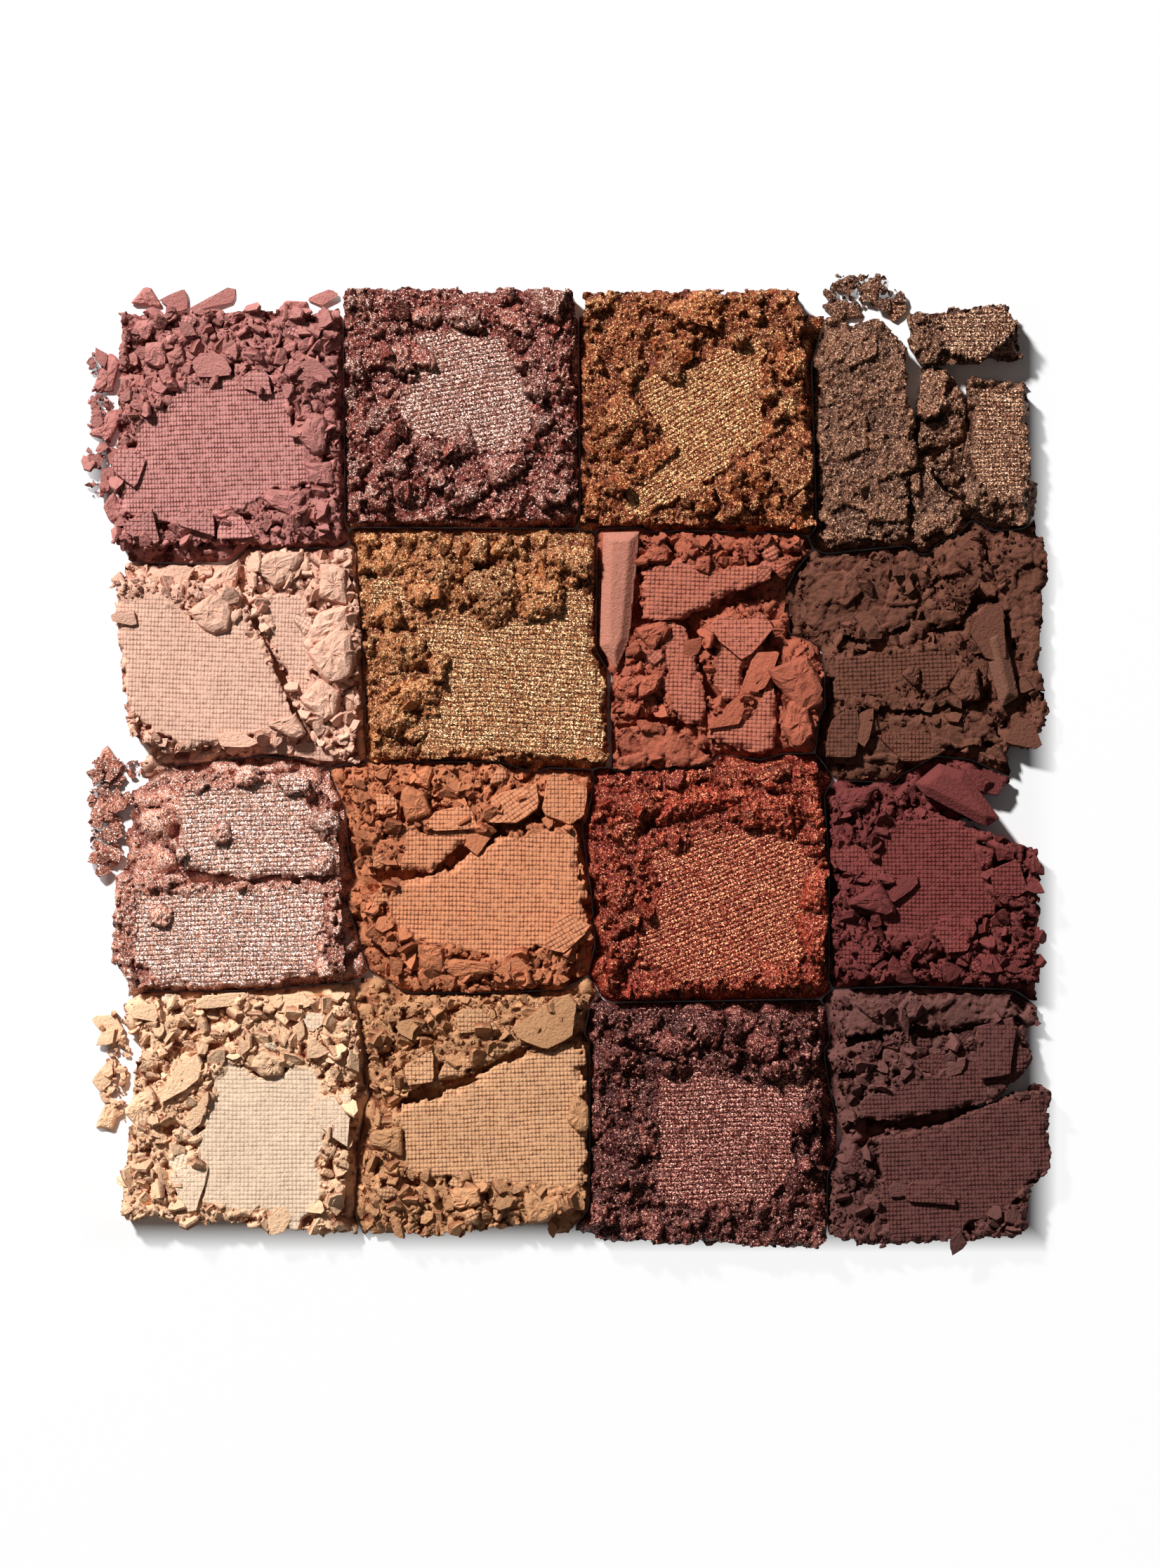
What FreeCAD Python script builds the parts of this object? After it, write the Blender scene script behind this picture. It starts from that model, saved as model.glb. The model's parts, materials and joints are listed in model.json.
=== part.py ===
import FreeCAD, Part
import itertools
import math
import os

import Sketcher

# A set of sixteen pressed eyeshadow cakes, knocked out of their pans, broken and laid
# four by four on a flat surface. Lengths are in millimetres, +Z is up, the surface is Z = 0
# and the origin is the middle of the whole footprint.

document = FreeCAD.newDocument("EyeshadowCakes")

# Driving dimensions
DIMENSIONS = [
    ("cake_side", 20.0, "side of a whole pressed cake"),
    ("cake_thickness", 2.5, "depth of powder that a pan held"),
    ("column_gap", 0.46, "nominal gap between cakes, left to right"),
    ("row_gap", 0.62, "nominal gap between cakes, front to back"),
    ("array_offset", 1.15, "how far the array stands to the right of the origin"),
    ("break_gap", 0.3, "clear gap along a break or between two cakes"),
    ("edge_chamfer", 0.2, "worn top edge of a slab"),
    ("plate_thickness", 2.1, "a plate that lost some of its underside"),
    ("chunk_height", 3.0, "a chunk that lies on edge"),
    ("chunk_chamfer", 0.3, "worn top edge of a chunk"),
    ("stick_height", 2.7, "a smooth stick split off a cake's rim"),
    ("stick_bevel", 0.5, "moulded bevel along a stick"),
    ("flake_radius", 1.2, "largest flake on a rim"),
    ("flake_height", 0.8, "height of a middling flake"),
    ("flake_spacing", 0.12, "least gap between two flakes"),
    ("rim_margin", 0.2, "bare strip between a slab's edge and its flakes"),
    ("crumb_radius", 0.7, "largest crumb spilled on the surface"),
    ("crumb_height", 1.2, "height of a middling spilled crumb"),
    ("crumb_spacing", 0.15, "least gap between two spilled crumbs"),
]

sheet = document.addObject("Spreadsheet::Sheet", "Dimensions")
for line, (alias, value, meaning) in enumerate(DIMENSIONS, start=1):
    sheet.set(f"A{line}", alias)
    sheet.set(f"B{line}", str(value))
    sheet.set(f"C{line}", meaning)
    sheet.setAlias(f"B{line}", alias)
document.recompute()


def size(alias):
    """The value of one driving dimension."""
    return float(sheet.get(alias))


# The array: four rows from back to front, four columns from left to right
SHADES = [
    ["mauve", "rose", "amber", "taupe"],
    ["peach", "gold", "brick", "brown"],
    ["champagne", "tan", "copper", "burgundy"],
    ["cream", "camel", "plum", "aubergine"],
]
CELLS = {
    shade: (row, column)
    for row, shades in enumerate(SHADES)
    for column, shade in enumerate(shades)
}
MIDDLE = (len(SHADES) - 1) / 2

# What each kind of piece takes its height and its worn edge from
KINDS = {
    "slab": ("cake_thickness", "edge_chamfer"),
    "plate": ("plate_thickness", "edge_chamfer"),
    "chunk": ("chunk_height", "chunk_chamfer"),
    "stick": ("stick_height", "stick_bevel"),
}

# Outline of each piece, clockwise from above, in shares of half a cake's side from the
# middle of its cell. Two pieces that share a break are drawn edge to edge there.
OUTLINES = {
    "mauve_slab": [(-0.96, 0.85), (0.94, 0.87), (0.94, -1.16), (-1.01, -1.17)],
    "rose_slab": [(-1.05, 1.06), (0.94, 1.05), (0.98, -0.94), (-1.01, -0.97)],
    "amber_slab": [(-1.0, 1.03), (0.89, 1.05), (1.02, -1.0), (-1.01, -0.98)],
    "taupe_left_slab": [
        (-0.98, 0.4), (-0.73, 0.74), (-0.48, 0.8), (-0.23, 0.57), (-0.24, 0.14), (-0.14, -0.15),
        (-0.14, -0.46), (-0.22, -0.56), (-0.19, -0.95), (-0.23, -1.11), (-0.9, -1.19), (-0.98, -1.08),
    ],
    "taupe_middle_plate": [
        (-0.06, 0.39), (0.13, 0.36), (0.29, 0.04), (0.28, -0.23), (0.13, -0.33), (-0.1, -0.33),
        (-0.12, -0.03),
    ],
    "taupe_top_plate": [
        (-0.19, 0.83), (0.36, 0.91), (0.69, 0.93), (0.79, 0.47), (0.31, 0.42), (-0.1, 0.42),
        (-0.19, 0.61),
    ],
    "taupe_right_slab": [
        (0.33, 0.26), (0.82, 0.23), (0.85, -0.71), (0.84, -0.98), (0.6, -1.0), (0.26, -0.77),
        (-0.06, -0.47), (0.04, -0.39), (0.32, -0.3),
    ],
    "taupe_wedge_plate": [
        (-0.17, -0.58), (-0.07, -0.54), (0.26, -0.84), (0.23, -1.02), (-0.1, -1.19), (-0.17, -1.14),
    ],
    "peach_left_slab": [(-1.04, 0.6), (0.06, 0.53), (0.65, -0.81), (-0.58, -0.93), (-0.9, -0.76)],
    "peach_right_slab": [
        (0.14, 0.8), (1.07, 0.84), (1.12, 0.1), (1.1, -1.03), (0.72, -0.85), (0.12, 0.5),
    ],
    "gold_slab": [
        (-0.95, 1.0), (1.11, 0.95), (1.12, -0.06), (1.22, -0.28), (1.24, -1.0), (-0.8, -0.97),
    ],
    "brick_rim_stick": [(-0.84, 1.0), (-0.51, 1.01), (-0.6, 0.05), (-0.72, -0.22), (-0.87, 0.0)],
    "brick_top_slab": [
        (-0.47, 0.92), (-0.14, 0.97), (0.88, 0.91), (0.91, 0.82), (0.76, 0.66), (0.44, 0.54),
        (-0.14, 0.25), (-0.49, 0.25),
    ],
    "brick_left_plate": [
        (-0.56, 0.16), (-0.17, 0.2), (-0.02, -0.1), (0.05, -0.56), (0.05, -0.69), (-0.31, -0.6),
        (-0.73, -0.66), (-0.74, -0.42), (-0.63, -0.17),
    ],
    "brick_centre_plate": [
        (0.05, 0.23), (0.35, 0.35), (0.63, 0.25), (0.53, -0.1), (0.4, -0.2), (0.36, -0.49),
        (0.24, -0.49), (0.02, -0.14),
    ],
    "brick_lower_plate": [
        (0.43, -0.23), (0.59, -0.14), (0.66, -0.22), (0.67, -0.89), (0.55, -0.95), (0.11, -0.8),
        (0.09, -0.43), (0.24, -0.54), (0.39, -0.54),
    ],
    "brick_right_chunk": [
        (0.78, -0.15), (0.92, -0.04), (1.07, -0.2), (1.04, -0.6), (0.97, -0.87), (0.73, -0.85),
        (0.72, -0.62),
    ],
    "brick_front_chunk": [
        (-0.72, -0.76), (-0.35, -0.68), (-0.23, -0.69), (0.1, -1.0), (-0.14, -1.06), (-0.71, -1.07),
    ],
    "brown_left_plate": [
        (-1.14, 0.62), (-1.05, 0.75), (-0.52, 0.8), (-0.22, 0.82), (0.06, 0.65), (-0.11, 0.43),
        (-0.22, 0.2), (-0.54, 0.07), (-0.83, 0.05), (-1.06, 0.17),
    ],
    "brown_top_plate": [
        (0.09, 0.86), (0.42, 1.03), (0.48, 0.65), (0.28, 0.32), (0.26, 0.2), (-0.01, 0.18),
        (-0.1, 0.32), (0.09, 0.63),
    ],
    "brown_right_plate": [
        (0.51, 0.97), (0.82, 0.99), (0.92, 1.08), (1.0, 0.76), (0.94, 0.18), (0.93, -0.17),
        (1.04, -0.72), (0.9, -0.76), (0.79, -0.14), (0.66, 0.25), (0.53, 0.63),
    ],
    "brown_woven_plate": [
        (-0.9, -0.15), (-0.83, -0.06), (0.07, 0.01), (0.21, -0.1), (0.46, -0.21), (0.46, -0.34),
        (0.26, -0.51), (-0.85, -0.57),
    ],
    "brown_rim_stick": [(0.42, 0.1), (0.62, 0.2), (0.77, -0.45), (0.6, -0.55)],
    "brown_front_plate": [
        (-0.94, -0.62), (-0.65, -0.62), (0.21, -0.58), (0.45, -0.53), (0.69, -0.86), (0.02, -0.91),
        (-0.3, -1.02), (-0.78, -1.02), (-0.94, -0.94),
    ],
    "champagne_upper_slab": [
        (-0.44, 0.9), (0.25, 0.98), (0.74, 0.86), (0.94, 0.6), (0.94, 0.07), (0.06, 0.01),
        (-0.48, 0.09),
    ],
    "champagne_lower_slab": [
        (-1.0, 0.04), (0.06, -0.01), (0.94, 0.02), (0.98, -0.79), (0.09, -0.93), (-0.82, -0.94),
        (-1.04, -0.69),
    ],
    "tan_upper_slab": [
        (-1.04, 0.98), (-0.3, 1.01), (0.28, 1.02), (0.64, 0.79), (0.21, 0.46), (-0.3, 0.09),
        (-0.82, 0.1), (-0.96, 0.3),
    ],
    "tan_lower_slab": [
        (-0.98, -0.18), (-0.67, -0.02), (-0.27, 0.04), (0.23, 0.35), (0.55, 0.52), (0.95, 0.5),
        (1.05, -0.1), (1.06, -0.53), (0.81, -0.9), (0.07, -0.96), (-0.49, -0.95), (-0.72, -0.6),
    ],
    "tan_corner_plate": [(0.74, 0.92), (1.08, 0.9), (1.03, 0.57), (0.94, 0.57), (0.68, 0.77)],
    "copper_slab": [
        (-0.86, 0.93), (1.02, 1.05), (1.13, 0.1), (1.1, -0.89), (-0.76, -1.03), (-0.95, 0.41),
    ],
    "burgundy_slab": [
        (-0.88, 0.73), (-0.23, 0.68), (-0.02, 0.61), (0.92, 0.26), (0.94, -0.9), (-0.85, -0.85),
    ],
    "burgundy_chunk": [
        (-0.16, 0.86), (0.06, 1.04), (0.29, 0.97), (0.6, 0.55), (0.47, 0.47), (-0.08, 0.76),
    ],
    "cream_slab": [
        (-0.78, 1.06), (1.05, 1.06), (1.12, 0.62), (0.94, -1.02), (-0.96, -0.86), (-0.86, 0.07),
    ],
    "camel_upper_slab": [
        (-0.94, 1.05), (1.07, 1.04), (0.98, 0.81), (0.35, 0.55), (-0.12, 0.3), (-0.4, 0.24),
        (-0.67, 0.15), (-0.8, 0.35),
    ],
    "camel_lower_slab": [
        (-0.78, 0.04), (-0.32, 0.15), (-0.04, 0.27), (0.51, 0.55), (0.87, 0.65), (1.04, 0.62),
        (1.06, -0.34), (1.05, -0.79), (0.35, -0.97), (-0.28, -1.03), (-0.67, -1.0), (-0.86, -0.81),
        (-0.86, -0.18),
    ],
    "plum_slab": [(-0.9, 0.96), (1.05, 0.88), (1.12, -1.14), (-0.93, -1.08)],
    "aubergine_top_chunk": [
        (-0.83, 1.02), (-0.17, 1.08), (0.69, 1.05), (0.76, 0.88), (0.11, 0.75), (-0.28, 0.8),
        (-0.78, 0.64),
    ],
    "aubergine_upper_slab": [
        (-0.89, 0.55), (-0.28, 0.74), (0.1, 0.69), (0.76, 0.82), (0.88, 0.46), (0.52, 0.14),
        (-0.4, -0.04), (-0.67, -0.04), (-0.83, 0.31),
    ],
    "aubergine_lower_slab": [
        (-0.54, -0.2), (-0.4, -0.14), (0.04, -0.1), (0.9, 0.26), (1.04, 0.22), (1.02, -0.46),
        (0.85, -0.62), (0.79, -1.02), (0.04, -1.1), (-0.67, -1.11), (-0.89, -1.02), (-0.87, -0.54),
    ],
}

# Edges of each piece that carry a line of loose flakes: edge 0 runs from the first point
FLAKE_EDGES = {
    "mauve_slab": [0, 1, 2, 3],
    "rose_slab": [0, 1, 2, 3],
    "amber_slab": [0, 1, 2, 3],
    "taupe_left_slab": [0, 3, 5, 7, 9, 11],
    "peach_left_slab": [0],
    "peach_right_slab": [0, 1, 2],
    "gold_slab": [0, 5],
    "brick_top_slab": [1],
    "brick_left_plate": [6, 8],
    "brown_left_plate": [1, 6, 8],
    "brown_front_plate": [1, 4, 6],
    "champagne_upper_slab": [0, 1, 4],
    "champagne_lower_slab": [0, 5],
    "tan_upper_slab": [0, 1, 3, 4],
    "tan_lower_slab": [9, 10],
    "copper_slab": [0, 3, 4, 5],
    "burgundy_slab": [0, 2, 3, 4, 5],
    "cream_slab": [0, 2, 3, 4, 5],
    "camel_upper_slab": [0, 3],
    "camel_lower_slab": [8, 9, 11, 12],
    "plum_slab": [0, 1, 2, 3],
    "aubergine_upper_slab": [0, 4, 8],
    "aubergine_lower_slab": [8, 9, 11],
}

# Where crumbs lie spilled on the surface, in shares of half a side about the shade's cell
SPILLS = {
    "mauve": [(-1.26, 0.6), (-1.0, 0.6), (-1.03, -0.72), (-1.26, -0.72)],
    "taupe": [(-0.98, 0.8), (-0.92, 1.24), (-0.34, 1.24), (-0.24, 0.85), (-0.5, 0.83), (-0.76, 0.77)],
    "champagne": [(-1.27, 1.07), (-0.56, 1.11), (-0.52, 0.1), (-1.2, 0.1)],
    "cream": [(-1.22, 0.98), (-0.83, 0.98), (-0.9, 0.1), (-0.96, -0.3), (-1.1, -0.3)],
}

# Flakes and crumbs come in a repeating run of shapes, so that no two neighbours are alike
FLAKE_SIDES = [5, 4, 6, 3, 5, 7]
FLAKE_SHARES = [1.0, 0.72, 0.88, 0.64]
FLAKE_RISES = [1.0, 0.6, 1.3, 0.8, 1.1]
FLAKE_ROWS = 2
FLAKE_ROW_STEP = 1.7
GOLDEN_ANGLE = 137.5
SLACK = 0.01


def shade_of(label):
    """The shade that a piece belongs to is the first word of its name."""
    return label.split("_")[0]


def height_of(label):
    """The driving dimension that a piece takes its height from, by the last word of its name."""
    return KINDS[label.split("_")[-1]][0]


def cell_expressions(shade):
    """Expressions for the middle of a shade's cell."""
    row, column = CELLS[shade]
    across = f"Dimensions.array_offset + {column - MIDDLE} * (Dimensions.cake_side + Dimensions.column_gap)"
    along = f"{MIDDLE - row} * (Dimensions.cake_side + Dimensions.row_gap)"
    return across, along


def inward_normals(outline):
    """Unit normal of each edge of a clockwise outline, pointing into the piece."""
    normals = []
    for (ax, ay), (bx, by) in zip(outline, outline[1:] + outline[:1]):
        length = math.hypot(bx - ax, by - ay)
        normals.append(((by - ay) / length, (ax - bx) / length))
    return normals


def mitres(outline):
    """How each corner moves when every edge moves inwards by one."""
    normals = inward_normals(outline)
    moves = []
    for before, after in zip(normals[-1:] + normals[:-1], normals):
        spread = 1 + before[0] * after[0] + before[1] * after[1]
        moves.append(((before[0] + after[0]) / spread, (before[1] + after[1]) / spread))
    return moves


def plane_of(body, role):
    """One of a body's own origin planes."""
    return next(feature for feature in body.Origin.OriginFeatures if feature.Role == role)


def draw_outline(body, outline):
    """Sketch a piece's outline, drawn in from the break line by half the break gap."""
    sketch = body.newObject("Sketcher::SketchObject", body.Name + "_outline")
    sketch.AttachmentSupport = (plane_of(body, "XY_Plane"), [""])
    sketch.MapMode = "FlatFace"
    half_side = size("cake_side") / 2
    half_gap = size("break_gap") / 2
    moves = mitres(outline)
    corners = [
        FreeCAD.Vector(half_side * u + half_gap * across, half_side * v + half_gap * along, 0)
        for (u, v), (across, along) in zip(outline, moves)
    ]
    count = len(corners)
    for index in range(count):
        sketch.addGeometry(Part.LineSegment(corners[index], corners[(index + 1) % count]))
    for index in range(count):
        sketch.addConstraint(Sketcher.Constraint("Coincident", index, 2, (index + 1) % count, 1))
    for index, (point, move) in enumerate(zip(outline, moves)):
        for axis, kind in enumerate(("DistanceX", "DistanceY")):
            value = corners[index][axis]
            number = sketch.addConstraint(Sketcher.Constraint(kind, -1, 1, index, 1, value))
            name = f"corner_{index}_{kind[-1].lower()}"
            sketch.renameConstraint(number, name)
            sketch.setExpression(
                f"Constraints.{name}",
                f"Dimensions.cake_side / 2 * {point[axis]} + Dimensions.break_gap / 2 * {move[axis]:.5f}",
            )
    sketch.Visibility = False
    return sketch


def top_face(shape):
    """Name of the face that looks up."""
    highest = max(range(len(shape.Faces)), key=lambda index: shape.Faces[index].CenterOfMass.z)
    return f"Face{highest + 1}"


def add_piece(label):
    """One broken piece of a cake: its outline, padded up from the surface, with a worn top edge."""
    chamfer_size = KINDS[label.split("_")[-1]][1]
    body = document.addObject("PartDesign::Body", label)
    body.Label = label
    sketch = draw_outline(body, OUTLINES[label])
    pad = body.newObject("PartDesign::Pad", label + "_pad")
    pad.Profile = sketch
    pad.setExpression("Length", f"Dimensions.{height_of(label)}")
    document.recompute()
    chamfer = body.newObject("PartDesign::Chamfer", label + "_worn_edge")
    chamfer.Base = (pad, [top_face(pad.Shape)])
    chamfer.setExpression("Size", f"Dimensions.{chamfer_size}")
    body.Tip = chamfer
    across, along = cell_expressions(shade_of(label))
    body.setExpression("Placement.Base.x", across)
    body.setExpression("Placement.Base.y", along)
    return body


def clearance_to_edges(spot, outline, half_side):
    """How far inside an outline a spot lies, or a negative distance if it lies outside."""
    depths = []
    for index, (normal, (u, v)) in enumerate(zip(inward_normals(outline), outline)):
        end_u, end_v = outline[(index + 1) % len(outline)]
        start = FreeCAD.Vector(u, v, 0) * half_side
        run = FreeCAD.Vector(end_u, end_v, 0) * half_side - start
        reach = min(max((spot - start).dot(run) / run.dot(run), 0), 1)
        nearest = start + run * reach
        side = (spot - start).dot(FreeCAD.Vector(normal[0], normal[1], 0))
        depths.append(((spot - nearest).Length, side))
    distance, side = min(depths, key=lambda depth: (round(depth[0], 6), -depth[1]))
    return distance if side >= 0 else -distance


def add_prism(name, number, radius, share, height, rise):
    """An angular flake or crumb, sized from two driving dimensions."""
    prism = document.addObject("Part::Prism", name)
    prism.Polygon = FLAKE_SIDES[number % len(FLAKE_SIDES)]
    prism.setExpression("Circumradius", f"Dimensions.{radius} * {share}")
    prism.setExpression("Height", f"Dimensions.{height} * {rise}")
    prism.Placement.Rotation = FreeCAD.Rotation(FreeCAD.Vector(0, 0, 1), GOLDEN_ANGLE * number)
    return prism


def group(label, members):
    """Separate solids of one shade, kept together as one named sub-part."""
    compound = document.addObject("Part::Compound", label)
    compound.Label = label
    compound.Links = members
    return compound


def edge_places(label):
    """Places for flakes along a piece's crumbled edges: a point on the edge, the way in and the row."""
    outline = OUTLINES[label]
    pitch = 2 * size("flake_radius") * min(FLAKE_SHARES) + size("flake_spacing")
    for edge, row in itertools.product(FLAKE_EDGES[label], range(FLAKE_ROWS)):
        (au, av), (bu, bv) = outline[edge], outline[(edge + 1) % len(outline)]
        places = int(math.hypot(bu - au, bv - av) * size("cake_side") / 2 / pitch)
        for place in range(places):
            portion = (place + 0.5) / places
            point = (au + (bu - au) * portion, av + (bv - av) * portion)
            yield point, inward_normals(outline)[edge], row


def add_flakes(shade):
    """Loose flakes that lie on a cake's pieces, in two rows along each crumbled edge."""
    half_side = size("cake_side") / 2
    spacing = size("flake_spacing")
    bare_strip = size("break_gap") / 2 + size("rim_margin")
    cell = cell_expressions(shade)
    flakes = []
    taken = []
    for label in [piece for piece in FLAKE_EDGES if shade_of(piece) == shade]:
        for point, way_in, row in edge_places(label):
            number = len(flakes)
            share = FLAKE_SHARES[number % len(FLAKE_SHARES)]
            radius = size("flake_radius") * share
            depth = bare_strip + spacing * row + size("flake_radius") * (share + FLAKE_ROW_STEP * row)
            spot = FreeCAD.Vector(*point, 0) * half_side + FreeCAD.Vector(*way_in, 0) * depth
            inside = clearance_to_edges(spot, OUTLINES[label], half_side) > bare_strip + radius - SLACK
            free = all((spot - other).Length > radius + reach + spacing for other, reach in taken)
            if not inside or not free:
                continue
            rise = FLAKE_RISES[number % len(FLAKE_RISES)]
            flake = add_prism(f"{shade}_flake_{number}", number, "flake_radius", share, "flake_height", rise)
            depth_expression = (
                f"(Dimensions.break_gap / 2 + Dimensions.rim_margin + Dimensions.flake_spacing * {row}"
                f" + Dimensions.flake_radius * {share + FLAKE_ROW_STEP * row:.3f})"
            )
            for axis, name in enumerate("xy"):
                flake.setExpression(
                    f"Placement.Base.{name}",
                    f"{cell[axis]} + Dimensions.cake_side / 2 * {point[axis]:.5f}"
                    f" + {depth_expression} * {way_in[axis]:.5f}",
                )
            flake.setExpression("Placement.Base.z", f"Dimensions.{height_of(label)}")
            flakes.append(flake)
            taken.append((spot, radius))
    return group(shade + "_flakes", flakes)


def add_spill(shade):
    """Crumbs that stay on the surface beside a cake, on a staggered lattice inside their patch."""
    outline = SPILLS[shade]
    half_side = size("cake_side") / 2
    pitch = 2 * size("crumb_radius") + size("crumb_spacing")
    row_pitch = math.sin(math.radians(60))
    lattice = "(2 * Dimensions.crumb_radius + Dimensions.crumb_spacing)"
    left = min(u for u, v in outline)
    front = min(v for u, v in outline)
    columns = int((max(u for u, v in outline) - left) * half_side / pitch) + 1
    rows = int((max(v for u, v in outline) - front) * half_side / (pitch * row_pitch)) + 1
    across, along = cell_expressions(shade)
    crumbs = []
    for row in range(rows):
        for column in range(columns):
            steps_across = 0.5 + column + 0.5 * (row % 2)
            steps_along = 0.5 + row * row_pitch
            corner = FreeCAD.Vector(left, front, 0) * half_side
            spot = corner + FreeCAD.Vector(steps_across, steps_along, 0) * pitch
            if clearance_to_edges(spot, outline, half_side) < size("crumb_radius"):
                continue
            number = len(crumbs)
            share = FLAKE_SHARES[number % len(FLAKE_SHARES)]
            rise = FLAKE_RISES[number % len(FLAKE_RISES)]
            crumb = add_prism(f"{shade}_crumb_{number}", number, "crumb_radius", share, "crumb_height", rise)
            crumb.setExpression(
                "Placement.Base.x",
                f"{across} + Dimensions.cake_side / 2 * {left} + {lattice} * {steps_across}",
            )
            crumb.setExpression(
                "Placement.Base.y",
                f"{along} + Dimensions.cake_side / 2 * {front} + {lattice} * {steps_along:.5f}",
            )
            crumbs.append(crumb)
    return group(shade + "_spilled_crumbs", crumbs)


def problems_in(sub_parts):
    """Every object that failed to build, and every sub-part with no sound solid."""
    failed = [item.Name for item in document.Objects if {"Invalid", "Error"} & set(item.State)]
    unsound = [
        part.Label
        for part in sub_parts
        if part.Shape.isNull() or not part.Shape.isValid() or not part.Shape.Solids
    ]
    return failed + unsound


sub_parts = [add_piece(label) for label in OUTLINES]
sub_parts += [add_flakes(shade) for shade in CELLS]
sub_parts += [add_spill(shade) for shade in SPILLS]
document.recompute()

problems = problems_in(sub_parts)
if problems:
    raise RuntimeError("did not build: " + ", ".join(problems))

os.makedirs("parts", exist_ok=True)
for part in sub_parts:
    part.Shape.exportStep(os.path.join("parts", part.Label + ".step"))
    print(part.Label, len(part.Shape.Solids), round(part.Shape.Volume, 2))
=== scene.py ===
"""Looks of sixteen pressed-powder cakes, cracked and crumbled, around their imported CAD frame."""

import json
import math
from collections import deque
from types import SimpleNamespace

import bmesh
import bpy
import numpy as np
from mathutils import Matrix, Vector

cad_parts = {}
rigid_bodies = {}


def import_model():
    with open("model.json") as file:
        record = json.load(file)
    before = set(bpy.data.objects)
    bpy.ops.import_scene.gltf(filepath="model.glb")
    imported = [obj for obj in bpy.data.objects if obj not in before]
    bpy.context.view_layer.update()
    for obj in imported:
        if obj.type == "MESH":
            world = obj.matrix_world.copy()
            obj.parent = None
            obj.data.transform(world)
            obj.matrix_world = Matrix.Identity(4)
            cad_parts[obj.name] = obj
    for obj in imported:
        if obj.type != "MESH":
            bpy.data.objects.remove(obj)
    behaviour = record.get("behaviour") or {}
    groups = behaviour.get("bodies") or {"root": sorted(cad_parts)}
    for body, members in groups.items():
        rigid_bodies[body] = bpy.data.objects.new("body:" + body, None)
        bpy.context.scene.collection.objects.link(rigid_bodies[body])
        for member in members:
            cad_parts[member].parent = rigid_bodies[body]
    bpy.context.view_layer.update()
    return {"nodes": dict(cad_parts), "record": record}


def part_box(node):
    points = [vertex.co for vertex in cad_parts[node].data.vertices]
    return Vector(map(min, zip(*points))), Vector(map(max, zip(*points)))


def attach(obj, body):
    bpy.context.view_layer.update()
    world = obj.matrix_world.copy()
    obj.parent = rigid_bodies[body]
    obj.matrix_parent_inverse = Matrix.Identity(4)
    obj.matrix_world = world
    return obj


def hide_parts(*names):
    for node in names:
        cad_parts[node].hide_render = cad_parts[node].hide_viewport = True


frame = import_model()

# Lengths are in millimetres until a mesh is made.
MM = 0.001

# The photograph looks straight down. PHOTO_STEP is what one of its pixels covers, and its point PHOTO_MIDDLE
# lies ARRAY_OFFSET to the right of the frame's middle.
PHOTO_STEP = 0.0615
PHOTO_MIDDLE = (828.5, 1087.5)
ARRAY_OFFSET = 1.15
PHOTO_SIZE = (1652, 2233)

# The pressing cloth's threads, and how finely the grid follows them.
STEPS_ACROSS = 3
STEPS_ALONG = 3
GROOVE_DEPTH = 0.04
CROSSING_DEPTH = 0.06
USUAL_THREAD = (0.31, 0.41)
LARGE_FLAKE_THREAD = (0.33, 0.39)

# Painted shade: colour in a groove or hollow, and at the foot of a chip, is multiplied towards this deep tint
# by this much, standing in for the shade that falls there.
PAINTED_SHADE_TINT = (0.42, 0.26, 0.25, 1.0)

# From one cake's middle to the next.
CELL_X = 332.5 * PHOTO_STEP
CELL_Y = 335.0 * PHOTO_STEP

# Pieces end this far short of the middle of the gap to their neighbour; past FAR nothing counts as one.
CLEAR_OF_NEIGHBOUR = 0.06
FAR = 5.0

# The crumbled sides of a piece, and the low rubble that fills a cell.
WALL_RINGS = 5
RUBBLE_STEP = 0.32
RUBBLE_HALF = 13.0
RUBBLE_LEVEL = 1.2
RUBBLE_RANGE = (0.25, 2.4)

# Where rubble may spread, in the photograph's pixels: within the layout's left, top, right and bottom edge,
# above the crack across champagne, and left of and above brown's outer corner.
LAYOUT_EDGES = (172, 440, 1486, 1764)
CHAMPAGNE_CRACK = 1262
BROWN_CORNER = (1482, 1066)

# How flakes that are placed one by one lie: RESTS_ON per cent of what is under a flake is below its foot.
LARGE_FLAKE_GROWTH = 1.15
TALLEST_LUMP = 1.0
RESTS_ON = 60

# Corners round a lump or a plate, its least rise and how much its width adds.
LUMP_SHAPE = (26, 0.22, 0.4)
PLATE_SHAPE = (18, 0.3, 0.15)

# Random tables repeat after this many places; the shift keeps places on them positive.
NOISE_TABLE = 128
NOISE_SHIFT = 1000


def srgb(red, green, blue):
    """A colour as a paint chart gives it, 0 to 255, in linear light."""
    channels = []
    for value in (red, green, blue):
        share = value / 255
        channels.append(share / 12.92 if share <= 0.04045 else ((share + 0.055) / 1.055) ** 2.4)
    return (*channels, 1.0)


def shade(pressed, broken, glint=None, deep=None, thread=USUAL_THREAD, turn=0.0, seed=1, spread=0.42,
          groove=0.62):
    """One powder: its pressed and broken colours, its mica where it shimmers, and its cloth print."""
    return SimpleNamespace(
        pressed=srgb(*pressed),
        broken=srgb(*broken),
        glint=srgb(*glint) if glint else None,
        deep=srgb(*deep) if deep else None,
        shimmer=glint is not None,
        thread=thread,
        turn=turn,
        seed=seed,
        spread=spread,
        groove=groove,
    )


# The third and fourth colours of a shimmering shade are its bright and deep mica flecks; the bright colour is
# partly painted highlight.
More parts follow.
